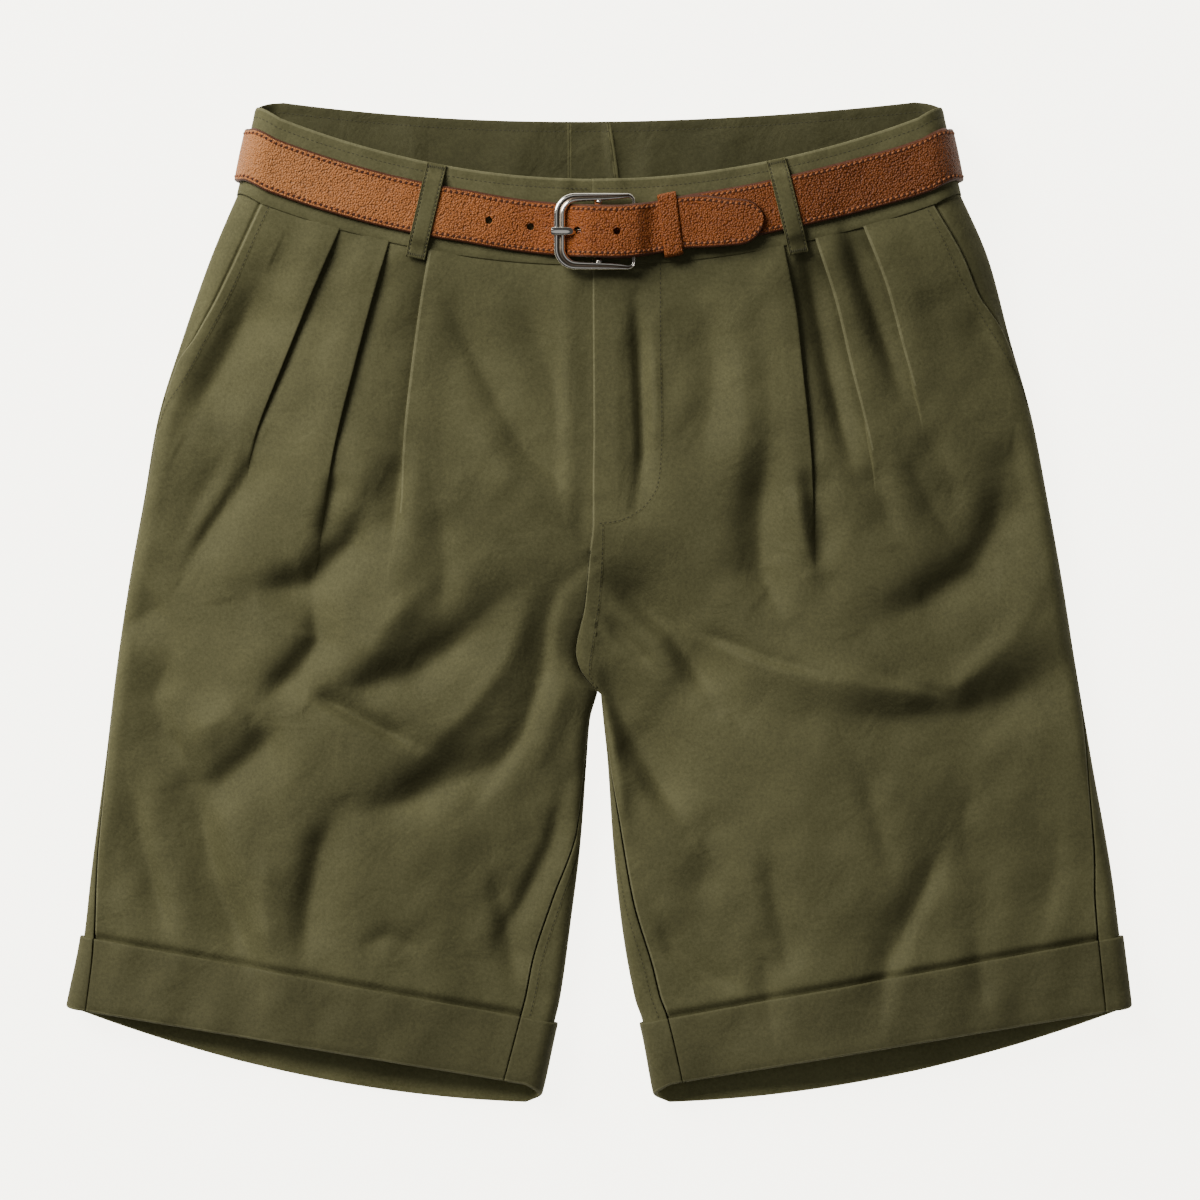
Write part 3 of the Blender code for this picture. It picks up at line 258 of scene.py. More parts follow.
def trough(x, y, width, depth, lean, route):
    """Depth of one fold at places: a soft trough along its route that fades towards both ends."""
    points = np.array(route)
    low, high = points.min(0) - 3 * width, points.max(0) + 3 * width
    near = (x > low[0]) & (x < high[0]) & (y > low[1]) & (y < high[1])
    found = np.zeros_like(x)
    if not near.any():
        return found
    px, py = x[near], y[near]
    runs = np.diff(points, axis=0)
    lengths = np.hypot(runs[:, 0], runs[:, 1])
    whole, before = lengths.sum(), 0.0
    best = np.full(px.shape, 1e9)
    aside, along = np.zeros_like(px), np.zeros_like(px)
    for start, run, length in zip(points, runs, lengths):
        t = np.clip(((px - start[0]) * run[0] + (py - start[1]) * run[1]) / length**2, 0, 1)
        dx, dy = px - start[0] - t * run[0], py - start[1] - t * run[1]
        away = np.hypot(dx, dy)
        side = np.sign(run[0] * dy - run[1] * dx)
        closer = away < best
        best = np.where(closer, away, best)
        aside = np.where(closer, side * away, aside)
        along = np.where(closer, (before + t * length) / whole, along)
        before += length
    reach = width * (1 + lean * np.tanh(2 * aside / width))
    fade = 0.25 + 0.75 * smooth(np.minimum(along, 1 - along) / 0.3)
    u = aside / reach
    wall = 0.55 * np.exp(-u * u) + 0.45 * np.exp(-1.9 * np.sqrt(u * u + 0.05))
    found[near] = depth * fade * wall
    return found


@functools.lru_cache(maxsize=None)
def waves(seed):
    """Direction, phase and length of a few waves."""
    turn = np.random.default_rng(seed)
    return [
        (turn.uniform(0, math.tau), turn.uniform(0, math.tau), turn.uniform(0.7, 1.6))
        for _ in range(7)
    ]


def ripple(x, y, size, seed):
    """Slow uneven waves between about -1 and 1."""
    total = np.zeros_like(x)
    for angle, phase, scale in waves(seed):
        bend = 0.25 * size * np.sin((x - y) / size + phase)
        bent = x * math.cos(angle) + y * math.sin(angle) + bend
        total += np.sin(math.tau * bent / (size * scale) + phase)
    return total / 4


def boxes_of(folds):
    """Lowest and highest place that each fold reaches."""
    found = []
    for width, _, _, route in folds:
        points = np.array(route)
        found.append((*(points.min(0) - 3 * width), *(points.max(0) + 3 * width)))
    return np.array(found)


FOLD_BOXES, BACK_FOLD_BOXES = boxes_of(FOLDS), boxes_of(BACK_FOLDS)


def folds_near(folds, boxes, x, y):
    near = (boxes[:, 0] < x.max()) & (boxes[:, 2] > x.min())
    near &= (boxes[:, 1] < y.max()) & (boxes[:, 3] > y.min())
    return [folds[k] for k in np.flatnonzero(near)]


def fold_depth(x, y):
    depth = 1.4 * ripple(x, y, 95.0, 3) + 0.4 * ripple(x, y, 34.0, 5)
    depth += 0.75 * ripple(x, 0.3 * y, 42.0, 8) * smooth((-40.0 - y) / 120.0)
    depth += 0.8 * ripple(x, 0.3 * y, 30.0, 12) * smooth((-222.0 - y) / 25.0)
    for fold in folds_near(FOLDS, FOLD_BOXES, x, y):
        depth += trough(x, y, *fold)
    over_zip = smooth((ZIP_REACH - np.abs(x - ZIP_X)) / 10.0) * smooth((y - ZIP_END_Y) / 15.0)
    return mix(depth, np.minimum(depth, DIP_OVER_ZIP), over_zip)


def back_lift(x, y):
    lift = 0.25 + 0.25 * ripple(x, y, 80.0, 11)
    for fold in folds_near(BACK_FOLDS, BACK_FOLD_BOXES, x, y):
        lift += trough(x, y, *fold)
    return lift


class Section:
    """The flattened tube of one side at one level."""

    def __init__(self, side, level):
        self.side, self.level = side, level
        down, rise = max(level, 0.0), max(-level, 0.0)
        self.radius = look_up(HEIGHTS, level, 1)
        self.crown = look_up(HEIGHTS, level, 2)
        self.base = CLOTH / 2 + look_up(HEIGHTS, level, 3)
        self.outer_y = SIDE_SEAM_TOP_Y - PANEL_LENGTH * down
        half = look_up(OUTER_LINE, self.outer_y, by_side(side))
        self.outer_x = side * (half - rise * (SEAM_HALF_WIDTH - RIM_HALF_WIDTH))
        fork = min(down / FORK_LEVEL, 1.0)
        leg = max(down - FORK_LEVEL, 0.0) / (1 - FORK_LEVEL)
        self.is_leg = level > FORK_LEVEL
        self.front_y = mix(SIDE_SEAM_TOP_Y - FRONT_DIP, FORK_Y, fork) - (LEG_END_Y + FORK_Y) * leg
        back_top = SIDE_SEAM_TOP_Y + BACK_RISE - BACK_DIP
        self.back_y = mix(back_top, FORK_Y, fork) - (LEG_END_Y + FORK_Y) * leg
        hem = smooth((level - CUFF_LEVEL) / (1 - CUFF_LEVEL))
        self.front_y += HEM_FRONT_RISE * hem
        self.back_y -= HEM_BACK_FALL * hem
        self.raised = rise * BAND_HEIGHT
        self.front_bow = -FRONT_DIP * (1 - smooth(down / 0.35)) + 2.0 * leg
        self.back_bow = -BACK_DIP * (1 - smooth(down / 0.35)) - 4 * HEM_BACK_DROP * smooth(leg)
        self.back_rise = BACK_RISE * (1 - smooth(down / 0.15))
        if self.is_leg:
            self.front_x = self.back_x = side * look_up(INNER_LINE, self.front_y, by_side(side))
        else:
            lap = mix(0.12, -0.45, smooth((level - 0.20) / 0.06))
            self.front_x = look_up(FRONT_LINE, self.front_y, 1) + side * lap
            self.back_x = look_up(BACK_LINE, self.back_y, 1) - side * 0.3
        valley = 1 - smooth((FORK_LEVEL - level) / 0.16)
        low_valley = 1 - smooth((FORK_LEVEL - level) / 0.08)
        self.falls = {False: self.radius * valley, True: self.radius * low_valley}
        self.inners = {
            False: mix(45.0, self.radius, valley), True: mix(30.0, self.radius, low_valley),
        }
        self.inner_crown = 1 - smooth((FORK_LEVEL - level) / 0.2)

    def width(self, back):
        return abs((self.back_x if back else self.front_x) - self.outer_x)

    def girth(self, back=False):
        edges = 2 if self.is_leg else 1
        return self.width(back) + edges * (math.pi / 2 - 1) * self.radius

    def girth_at(self, inset):
        """Girth of a line that lies a level distance inside the outline."""
        if inset < self.radius:
            return self.radius * math.acos(1 - inset / self.radius)
        return inset + (math.pi / 2 - 1) * self.radius

    def profile(self, girth, out, back):
        """Inward distance, height and share of the way onto the flat."""
        inner, fall = self.inners[back], self.falls[back]
        whole, width, radius = self.girth(back), self.width(back), self.radius
        turn = math.pi / 2 * radius
        inner_turn = turn if self.is_leg else inner
        angle = girth / radius
        reach = radius + out
        edge = (radius - reach * np.cos(angle), reach * np.sin(angle), np.sin(angle))
        flat_reach = np.where(girth > whole, width + girth - whole, radius + girth - turn)
        flat = (flat_reach, radius + out, np.ones_like(girth))
        left = np.clip(whole - girth, 0.0, inner_turn)
        angle = left / radius if self.is_leg else np.arccos(np.clip(1 - left / inner, -1, 1))
        across, up = -fall * np.cos(angle), np.maximum(inner * np.sin(angle), 1e-6)
        length = np.hypot(across, up)
        far = (
            width - inner * (1 - np.cos(angle)) - out * across / length,
            radius - fall * (1 - np.sin(angle)) + out * up / length,
            mix(1.0, np.sin(angle), fall / radius),
        )
        on_edge, on_flat = girth < turn, (girth <= whole - inner_turn) | (girth > whole)
        return [np.where(on_edge, a, np.where(on_flat, b, c)) for a, b, c in zip(edge, flat, far)]

    def row_y(self, across, back):
        bow = across * (1 - across)
        if back:
            rounding = np.sqrt(1 - (1 - np.clip(across / 0.055, 0.0, 1.0)) ** 2)
            start = self.outer_y + self.back_rise * rounding
            return mix(start, self.back_y, across) + self.back_bow * bow + self.raised
        return mix(self.outer_y, self.front_y, across) + self.front_bow * bow + self.raised

    def one_layer(self, girth, out, back):
        inward, height, flat = self.profile(girth, out, back)
        across = inward / self.width(back)
        x = self.outer_x - self.side * inward
        from_edge = np.minimum(girth, self.girth(back) - girth) if self.is_leg else girth
        own = np.minimum(0.5 + from_edge / (math.pi * self.radius), 1.0)
        y = mix(self.row_y(across, not back), self.row_y(across, back), own)
        if back:
            lift = np.where(flat > 0.0, flat, 0.0) * np.maximum(back_lift(x, y), 0.0)
            return np.stack([x, y, self.base + self.radius - height + lift], 1)
        share = np.clip(across, 0.0, 1.0)
        near_inside = mix(1.0, smooth((1 - share) / CROWN_RUN), self.inner_crown)
        crown = self.crown * smooth(share / CROWN_RUN) * near_inside
        z = self.base + self.radius + height + crown - flat * fold_depth(x, y)
        return np.stack([x, y, z], 1)

    def points(self, girth, out=0.0, back=False):
        """Points at girths over the front (or under the back), off the cloth by a distance."""
        girth = np.atleast_1d(np.asarray(girth, float))
        out = np.broadcast_to(np.asarray(out, float), girth.shape)
        on_back = np.full(girth.shape, back) ^ (girth < 0)
        girth = np.abs(girth)
        if self.is_leg:
            own = np.where(on_back, self.girth(True), self.girth(False))
            other = np.where(on_back, self.girth(False), self.girth(True))
            past = girth > own
            girth = np.where(past, other - (girth - own), girth)
            on_back = on_back ^ past
        found = np.empty((len(girth), 3))
        for layer in (False, True):
            picked = on_back == layer
            if picked.any():
                found[picked] = self.one_layer(girth[picked], out[picked], layer)
        return found


@functools.lru_cache(maxsize=4000)
def section(side, level):
    return Section(side, level)


def level_below_rim(distance):
    if distance <= BAND_HEIGHT:
        return distance / BAND_HEIGHT - 1
    return (distance - BAND_HEIGHT) / PANEL_LENGTH


def waist_point(x, below_rim, out, back=False):
    """Point on the waist at an x and a distance below the rim, off the cloth by a distance."""
    side = RIGHT if x < 0 else LEFT
    cut = section(side, round(level_below_rim(below_rim), 5))
    return cut.points(cut.girth_at(abs(cut.outer_x - x)), out, back)[0]


# Meshes

def add_mesh(name, points, faces, material):
    mesh = bpy.data.meshes.new(name)
    mesh.from_pydata((np.asarray(points) * MM).tolist(), [], faces)
    mesh.update()
    mesh.shade_smooth()
    mesh.materials.append(material)
    obj = bpy.data.objects.new(name, mesh)
    bpy.context.scene.collection.objects.link(obj)
    return obj


def grid_faces(rows, columns, wrap=False):
    """Quads of a grid of points; wrap joins its last column to its first."""
    faces = []
    for first in range(0, (rows - 1) * columns, columns):
        after = first + columns
        for j in range(columns if wrap else columns - 1):
            k = (j + 1) % columns
            faces.append((first + j, first + k, after + k, after + j))
    return faces


def grid(name, rows, material, flip=False, wrap=False, caps=False):
    rows = [np.asarray(row) for row in rows]
    faces = grid_faces(len(rows), len(rows[0]), wrap)
    if caps:
        last = (len(rows) - 1) * len(rows[0])
        faces.append(tuple(range(len(rows[0])))[::-1])
        faces.append(tuple(range(last, last + len(rows[0]))))
    if flip:
        faces = [face[::-1] for face in faces]
    return add_mesh(name, np.concatenate(rows), faces, material)


def closed_tube(name, rows, material):
    """A tube of closed outlines whose last one joins its first."""
    count = len(rows[0])
    whole = len(rows) * count
    faces = [tuple(k % whole for k in face) for face in grid_faces(len(rows) + 1, count, wrap=True)]
    return add_mesh(name, np.concatenate(rows), faces, material)


def paint_columns(obj, count, picked, material):
    """Gives whole columns of a grid's faces another material."""
    obj.data.materials.append(material)
    for face in obj.data.polygons:
        if face.index % count in picked:
            face.material_index = len(obj.data.materials) - 1


def show_as(obj, slot, *nodes):
    """obj rides on the one body and stands for CAD nodes."""
    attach(obj, "root")
    if nodes:
        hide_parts(*nodes)
    return obj


# Materials

def new_material(name):
    material = bpy.data.materials.new(name)
    material.use_nodes = True
    nodes, links = material.node_tree.nodes, material.node_tree.links
    return material, nodes, links, nodes["Principled BSDF"]


def add_node(nodes, kind, **values):
    node = nodes.new(kind)
    for name, value in values.items():
        if hasattr(node, name):
            setattr(node, name, value)
        else:
            node.inputs[name.replace("_", " ")].default_value = value
    return node


def tinted(nodes, links, factor, dark, light, low=0.3, high=0.7):
    """A colour ramp between two colours, driven by a factor socket."""
    ramp = nodes.new("ShaderNodeValToRGB")
    ramp.color_ramp.elements[0].position = low
    ramp.color_ramp.elements[0].color = (*dark, 1)
    ramp.color_ramp.elements[1].position = high
    ramp.color_ramp.elements[1].color = (*light, 1)
    links.new(factor, ramp.inputs["Fac"])
    return ramp.outputs["Color"]


def weighted(nodes, links, value, weight, rest):
    """value times weight plus rest, which is a number or a socket."""
    node = nodes.new("ShaderNodeMath")
    node.operation = "MULTIPLY_ADD"
    links.new(value, node.inputs[0])
    node.inputs[1].default_value = weight
    if isinstance(rest, float):
        node.inputs[2].default_value = rest
    else:
        links.new(rest, node.inputs[2])
    return node.outputs[0]


def raised(nodes, links, height, strength, distance, under=None, invert=False):
    """Bump from a height socket, over another bump's normal."""
    bump = add_node(nodes, "ShaderNodeBump", Strength=strength, Distance=distance)
    bump.invert = invert
    links.new(height, bump.inputs["Height"])
    if under:
        links.new(under, bump.inputs["Normal"])
    return bump.outputs["Normal"]


def twill(name, dark, light, sheen=0.12, crease=0.0014):
    """Cotton twill: fine diagonal wales, slubs, slow fading, small creases and a soft sheen."""
    material, nodes, links, shader = new_material(name)
    place = nodes.new("ShaderNodeTexCoord").outputs["Object"]
    fading = add_node(nodes, "ShaderNodeTexNoise", Scale=22.0, Detail=4.0, Roughness=0.6)
    slub = add_node(nodes, "ShaderNodeTexNoise", Scale=520.0, Detail=4.0, Roughness=0.75)
    wales = add_node(nodes, "ShaderNodeTexWave", bands_direction="DIAGONAL", Scale=170.0,
                     Distortion=1.6, Detail_Scale=3.0)
    creases = add_node(nodes, "ShaderNodeTexNoise", Scale=34.0, Detail=6.0, Roughness=0.55,
                       Distortion=0.6)
    for node in (fading, slub, wales, creases):
        links.new(place, node.inputs["Vector"])
    share = weighted(nodes, links, fading.outputs["Fac"], 0.4, 0.0)
    share = weighted(nodes, links, slub.outputs["Fac"], 0.6, share)
    links.new(tinted(nodes, links, share, dark, light, 0.36, 0.64), shader.inputs["Base Color"])
    crumpled = raised(nodes, links, creases.outputs["Fac"], 1.0, crease)
    coarse = raised(nodes, links, slub.outputs["Fac"], 0.5, 0.00016, crumpled)
    fine = raised(nodes, links, wales.outputs["Fac"], 0.35, 0.00010, coarse)
    links.new(fine, shader.inputs["Normal"])
    shader.inputs["Roughness"].default_value = 0.75
    shader.inputs["Specular IOR Level"].default_value = 0.22
    shader.inputs["Sheen Weight"].default_value = sheen
    shader.inputs["Sheen Roughness"].default_value = 0.45
    shader.inputs["Sheen Tint"].default_value = (0.55, 0.52, 0.36, 1)
    return material


# How far the belt shows to either side, in metres
BELT_REACH = 0.21


def leather(name, dark, light):
    """Pebbled leather: small grain cells with dark pits, slow tone changes, lighter at the left end
    and darker at the right as painted light and shade that is partly its own tone, and a painted
    highlight that pales the left end.
    """
    material, nodes, links, shader = new_material(name)
    place = nodes.new("ShaderNodeTexCoord").outputs["Object"]
    tone = add_node(nodes, "ShaderNodeTexNoise", Scale=40.0, Detail=4.0, Roughness=0.6)
    grain = add_node(nodes, "ShaderNodeTexVoronoi", Scale=820.0, Randomness=1.0)
    speck = add_node(nodes, "ShaderNodeTexNoise", Scale=760.0, Detail=2.0, Roughness=0.6)
    for node in (tone, grain, speck):
        links.new(place, node.inputs["Vector"])
    share = weighted(nodes, links, tone.outputs["Fac"], 0.16, 0.44)
    share = weighted(nodes, links, speck.outputs["Fac"], 0.26, share)
    share = weighted(nodes, links, grain.outputs["Distance"], -0.36, share)
    tan = tinted(nodes, links, share, dark, light, 0.30, 0.66)
    apart = nodes.new("ShaderNodeSeparateXYZ")
    links.new(place, apart.inputs[0])
    # Painted light and shade, partly the leather's own tone: brighter towards the left end, darker
    # towards the right
    light_falloff_and_tone = add_node(nodes, "ShaderNodeMapRange", From_Min=-BELT_REACH, From_Max=BELT_REACH,
                    To_Min=1.50, To_Max=0.62)
    links.new(apart.outputs["X"], light_falloff_and_tone.inputs["Value"])
    shade = nodes.new("ShaderNodeVectorMath")
    shade.operation = "SCALE"
    links.new(tan, shade.inputs[0])
    links.new(light_falloff_and_tone.outputs["Result"], shade.inputs["Scale"])
    # Painted highlight: the left end pales towards a light tan
    painted_highlight = add_node(nodes, "ShaderNodeMapRange", From_Min=-BELT_REACH, From_Max=-0.03,
                      To_Min=0.22, To_Max=0.0)
    links.new(apart.outputs["X"], painted_highlight.inputs["Value"])
    pale = add_node(nodes, "ShaderNodeMixRGB", Color2=(0.85, 0.50, 0.22, 1))
    links.new(painted_highlight.outputs["Result"], pale.inputs["Fac"])
    links.new(shade.outputs[0], pale.inputs["Color1"])
    links.new(pale.outputs["Color"], shader.inputs["Base Color"])
    pits = raised(nodes, links, grain.outputs["Distance"], 0.8, 0.0012, invert=True)
    pebbled = raised(nodes, links, speck.outputs["Fac"], 0.8, 0.0006, pits)
    links.new(pebbled, shader.inputs["Normal"])
    shader.inputs["Roughness"].default_value = 0.5
    shader.inputs["Specular IOR Level"].default_value = 0.3
    return material


def plain(name, colour, roughness, metallic=0.0, bump=0.0):
    material, nodes, links, shader = new_material(name)
    shader.inputs["Base Color"].default_value = (*colour, 1)
    shader.inputs["Roughness"].default_value = roughness
    shader.inputs["Metallic"].default_value = metallic
    if bump:
        place = nodes.new("ShaderNodeTexCoord").outputs["Object"]
        grain = add_node(nodes, "ShaderNodeTexNoise", Scale=420.0, Detail=2.0)
        links.new(place, grain.inputs["Vector"])
        links.new(raised(nodes, links, grain.outputs["Fac"], bump, 0.0002), shader.inputs["Normal"])
    return material


CLOTH_LOOK = twill("olive_twill_look", (0.081, 0.077, 0.032), (0.132, 0.125, 0.055))
# Painted shade: a darker twill for the inside of the waist
INSIDE_SHADE_LOOK = twill("olive_inside_painted_shade", (0.048, 0.046, 0.018), (0.079, 0.075, 0.031), 0.03, 0.0022)
# Edge wear and painted highlight: a lighter twill for the rim, the turn-ups' ends and the front's
# seam and pleat edges
WEAR_AND_HIGHLIGHT_LOOK = twill("olive_edge_wear_and_highlight", (0.125, 0.119, 0.056), (0.185, 0.176, 0.088))
# Painted light: a much lighter twill that brightens the shaded inside of the back turn-ups
CUFF_INSIDE_LIT_LOOK = twill("olive_cuff_inside_painted_light", (0.200, 0.188, 0.080), (0.320, 0.304, 0.138))
# Painted shade: a darker twill that darkens the turn-ups at the bottom of the legs
CUFF_SHADE_LOOK = twill("olive_cuff_painted_shade", (0.071, 0.067, 0.028), (0.115, 0.108, 0.048))
SEAM_LOOK = twill("olive_seam_look", (0.078, 0.074, 0.030), (0.124, 0.117, 0.050))
THREAD_LOOK = plain("olive_thread", (0.048, 0.045, 0.020), 0.8, bump=0.4)
LEATHER_LOOK = leather("tan_leather_look", (0.14, 0.032, 0.005), (0.40, 0.115, 0.020))
EDGE_LOOK = plain("brown_edge_paint", (0.085, 0.022, 0.006), 0.55, bump=0.3)
BELT_THREAD_LOOK = plain("brown_thread", (0.36, 0.115, 0.030), 0.7, bump=0.4)
# Painted shade: dark capsules in the belt's stitch holes
STITCH_HOLE_SHADE_LOOK = plain("stitch_hole_painted_shade", (0.055, 0.014, 0.004), 0.9)
METAL_LOOK = plain("polished_nickel", (0.97, 0.92, 0.83), 0.13, metallic=1.0, bump=0.04)
# Painted shade: a darker metal for the groove of the buckle's frame
GROOVE_SHADE_LOOK = plain("nickel_groove_painted_shade", (0.24, 0.19, 0.14), 0.35, metallic=1.0)
ZIP_LOOK = twill("zip_tape_look", (0.05, 0.046, 0.024), (0.07, 0.064, 0.034), 0.1)


# Cloth panels

def paint_rows(obj, columns, rows, material):
    """Gives whole rows of a grid's faces another material."""
    obj.data.materials.append(material)
    for row in rows:
        for face in obj.data.polygons[row * (columns - 1):(row + 1) * (columns - 1)]:
            face.material_index = len(obj.data.materials) - 1


# How far the leg dips beside the turn-up's edge, and over which share of its length
CUFF_DIP, CUFF_DIP_RUN = 2.8, 0.011
# How far the pleats' lower layer sinks beside an edge that faces the light, or faces away
DIP_TO_LIGHT, DIP_FROM_LIGHT = 2.5, 5.6
# A raw edge turned in at a seam: distance from the seam, height off the cloth
ROLL_IN = ((2.5, -1.0), (0.5, -1.0), (0.05, -0.6), (0.35, -0.12))


def with_edges(girths, outs, start, end, edge):
    """A row with an edge's columns (distance from the end, height) added at both ends."""
    return (
        np.concatenate([[start + a for a, _ in edge], girths, [end - a for a, _ in edge[::-1]]]),
        np.concatenate([[b for _, b in edge], outs, [b for _, b in edge[::-1]]]),
    )


def pleat_columns(side, pleat, cut):
    """Girth and rise of the columns through one pleat, from the outside in."""
    x_top, x_end, y_end, upper = pleat
    seam_share = abs(side * SEAM_HALF_WIDTH - x_top) / section(side, 0.0).width(False)
    end_level = (SIDE_SEAM_TOP_Y - y_end) / PANEL_LENGTH
    for _ in range(8):
        end = section(side, end_level)
        end_share = abs(end.outer_x - x_end) / end.width(False)
        end_level += (end.row_y(end_share, False) - y_end) / PANEL_LENGTH
    travelled = cut.level / end_level
    share = mix(seam_share, end_share, min(travelled, 1.0))
    edge = cut.girth_at(share * cut.width(False))
    opening = smooth((travelled - 0.50) / 0.45)
    step = PLEAT_STEP * (1 - smooth((travelled - 0.3) / 0.9))
    step *= mix(0.4, 1.0, smooth(travelled / 0.12))
    folded, spread, rises = (np.array(column) for column in zip(*PLEAT_FOLD))
    girths = mix(folded, spread, opening)
    toward_light = (side == RIGHT) == (upper == OUTWARD)
    dip = DIP_TO_LIGHT if toward_light else DIP_FROM_LIGHT
    dip *= (1 - smooth((travelled - 0.55) / 0.6)) * smooth((travelled + 0.03) / 0.2)
    sunk = dip * np.clip(1 - rises, 0, 1) * np.exp(-np.maximum(girths, 0.0) / PLEAT_HOLLOW)
    rises = rises * step - sunk
    if upper == INWARD:
        girths, rises = -girths[::-1], rises[::-1]
    return edge, step, dip, upper, edge + girths, rises


def pleat_relief(girth, pleats):
    """Rise of the upper layer, which sinks away from its edge, and the hollow beside the edge."""
    rise = np.zeros_like(girth)
    for edge, step, dip, upper, _, _ in pleats:
        away = (girth - edge) * upper
        above = 2 * step * (1 - smooth((away - 7.0) / PLEAT_FADE))
        hollow = -dip * np.exp(np.minimum(away, 0.0) / PLEAT_HOLLOW)
        rise += np.where(away > 0, above, hollow)
    return rise


# Columns of a front between its pleats, from the side seam inwards
FRONT_SPANS = (40, 20, 20, 56)


def fly_underlap(level):
    """How far the right front runs under the left one, and how far it lies below it."""
    closing = 1 - smooth((level - 0.24) / 0.06)
    sinking = 1 - smooth((level - 0.30) / 0.06)
    return 8.0 * closing, -(CLOTH + 0.3) * sinking


def front_row(side, level):
    cut = section(side, level)
    pleats = [pleat_columns(side, pleat, cut) for pleat in PLEATS[side]]
    start = cut.girth_at(look_up(OUTER_SEAM, level, by_side(side))) + SEAM
    whole = cut.girth()
    end = whole - 0.1
    if cut.is_leg:
        end = whole - cut.girth_at(look_up(INNER_SEAM, level, by_side(side))) - SEAM
    girths, rises = [], []
    edges = [start + 1.2]
    for pleat in pleats:
        edges += [pleat[4][0], pleat[4][-1]]
    edges.append(end - 1.2)
    for i, count in enumerate(FRONT_SPANS):
        fill = np.linspace(edges[2 * i], edges[2 * i + 1], count)
        fill = fill[1 if i else 0:-1 if i < len(pleats) else None]
        girths.append(fill)
        rises.append(pleat_relief(fill, pleats))
        if i < len(pleats):
            others = pleats[:i] + pleats[i + 1:]
            girths.append(pleats[i][4])
            rises.append(pleats[i][5] + pleat_relief(pleats[i][4], others))
    girths, rises = with_edges(np.concatenate(girths), np.concatenate(rises), start, end, ROLL_IN)
    if side == RIGHT:
        underlap, sunk = fly_underlap(level)
        from_end = end - girths
        near = np.clip(1 - from_end / 16.0, 0, 1)
        girths = girths + underlap * near
        rises = rises + sunk * smooth(near * 1.6)
    if cut.is_leg:
        rises = rises - CUFF_DIP * smooth(1 - abs(level - CUFF_LEVEL - 0.001) / CUFF_DIP_RUN)
    return cut.points(girths, rises)


# Levels between which the panels run
PANEL_TOP, PANEL_END = 0.0004, 0.9965
# Edges of a front painted lighter as edge wear and a painted highlight, as columns of its faces:
# first, last, end level
SEAM_EDGES = ((2, 3, 1.0), (-4, -3, 1.0))
PLEAT_EDGES = {RIGHT: ((133, 134, 0.34),), LEFT: ((46, 47, 0.21), (84, 85, 0.28))}


def front_panel(side, name):
    levels = np.linspace(PANEL_TOP, PANEL_END, 284)
    rows = [front_row(side, float(level)) for level in levels]
    obj = grid(name, rows, CLOTH_LOOK, flip=side == LEFT)
    # Edge wear and painted highlight on the front's seam and pleat edges
    obj.data.materials.append(WEAR_AND_HIGHLIGHT_LOOK)
    columns = len(rows[0]) - 1
    for first, last, end in (*SEAM_EDGES, *PLEAT_EDGES[side]):
        for row in range(int(np.searchsorted(levels, end)) - 1):
            for column in range(first % columns, last % columns + 1):
                obj.data.polygons[row * columns + column].material_index = 1
    return obj


def wrapped(cut, start, end, flat_count, turn_count):
    """Girths of a back piece: close together round both folds, wider apart across the flat."""
    whole, turn = cut.girth(True), math.pi / 2 * cut.radius
    first = np.linspace(start, turn, turn_count)
    flat = np.linspace(turn, whole - turn, flat_count)[1:-1]
    last = np.linspace(whole - turn, end, turn_count)
    return np.concatenate([first, flat, last])


def back_row(side, level):
    cut = section(side, level)
    whole = cut.girth(True)
    seam_inset = cut.girth_at(look_up(OUTER_SEAM, level, by_side(side)))
    tucked = 1 - smooth((level - POCKET_END[side] + 0.03) / 0.018)
    start = mix(SEAM - seam_inset, 2.0, tucked)
    end = whole - 0.1
    if cut.is_leg:
        end = whole + cut.girth_at(look_up(INNER_SEAM, level, by_side(side))) - SEAM
    girths = wrapped(cut, start + 1.0, end - 1.0, 60, 26)
    return cut.points(*with_edges(girths, np.zeros_like(girths), start, end, ROLL_IN), back=True)


def back_panel(side, name):
    rows = [back_row(side, float(level)) for level in np.linspace(PANEL_TOP, PANEL_END, 200)]
    return grid(name, rows, CLOTH_LOOK, flip=side == RIGHT)


def pocket_facing(side, name):
    rows = []
    for level in np.linspace(PANEL_TOP, POCKET_END[side] - 0.005, 76):
        cut = section(side, float(level))
        mouth = cut.girth_at(look_up(OUTER_SEAM, float(level), by_side(side)))
        girths = np.linspace(mouth + 11.0, -4.0, 64)
        outs = mix(0.15, -POCKET_STEP, smooth((girths + 1.0) / (0.6 * mouth + 1.0)))
        outs -= 0.9 * np.exp(-(((girths - mouth + 0.4) / 0.9) ** 2))
        rows.append(cut.points(girths, outs))
    return grid(name, rows, CLOTH_LOOK, flip=side == RIGHT)


# Half of the waistband across its height: distance below the rim, off the middle of the band
BAND_ROUTE = (
    (51.0, -0.75), (44.0, -0.8), (34.0, -0.8), (24.0, -0.8), (15.0, -0.8), (7.5, -0.8),
    (6.2, -0.62), (4.9, -0.8), (1.6, -0.78), (0.5, -0.6), (0.05, -0.2), (0.0, 0.1), (0.5, 0.42),
    (1.6, 0.55), (4.9, 0.55), (6.2, 0.35), (7.5, 0.55), (14.0, 0.55), (22.0, 0.55), (30.0, 0.55),
    (38.0, 0.55), (45.0, 0.62), (49.5, 0.75), (52.8, 0.7), (53.3, 0.4), (53.2, 0.05), (52.0, -0.4),
)
# Rows of its faces inside the waist, painted darker as painted shade, and rows at the rim painted
# lighter as edge wear and a painted highlight
BAND_INNER_ROWS, BAND_WEAR_AND_HIGHLIGHT_ROWS = range(10), (10, 11, 12)
# How far off the cloth the left half's closed end is, from its inside round to its outside
BAND_TIP = (-0.5, -0.45, 0.05, 0.45)


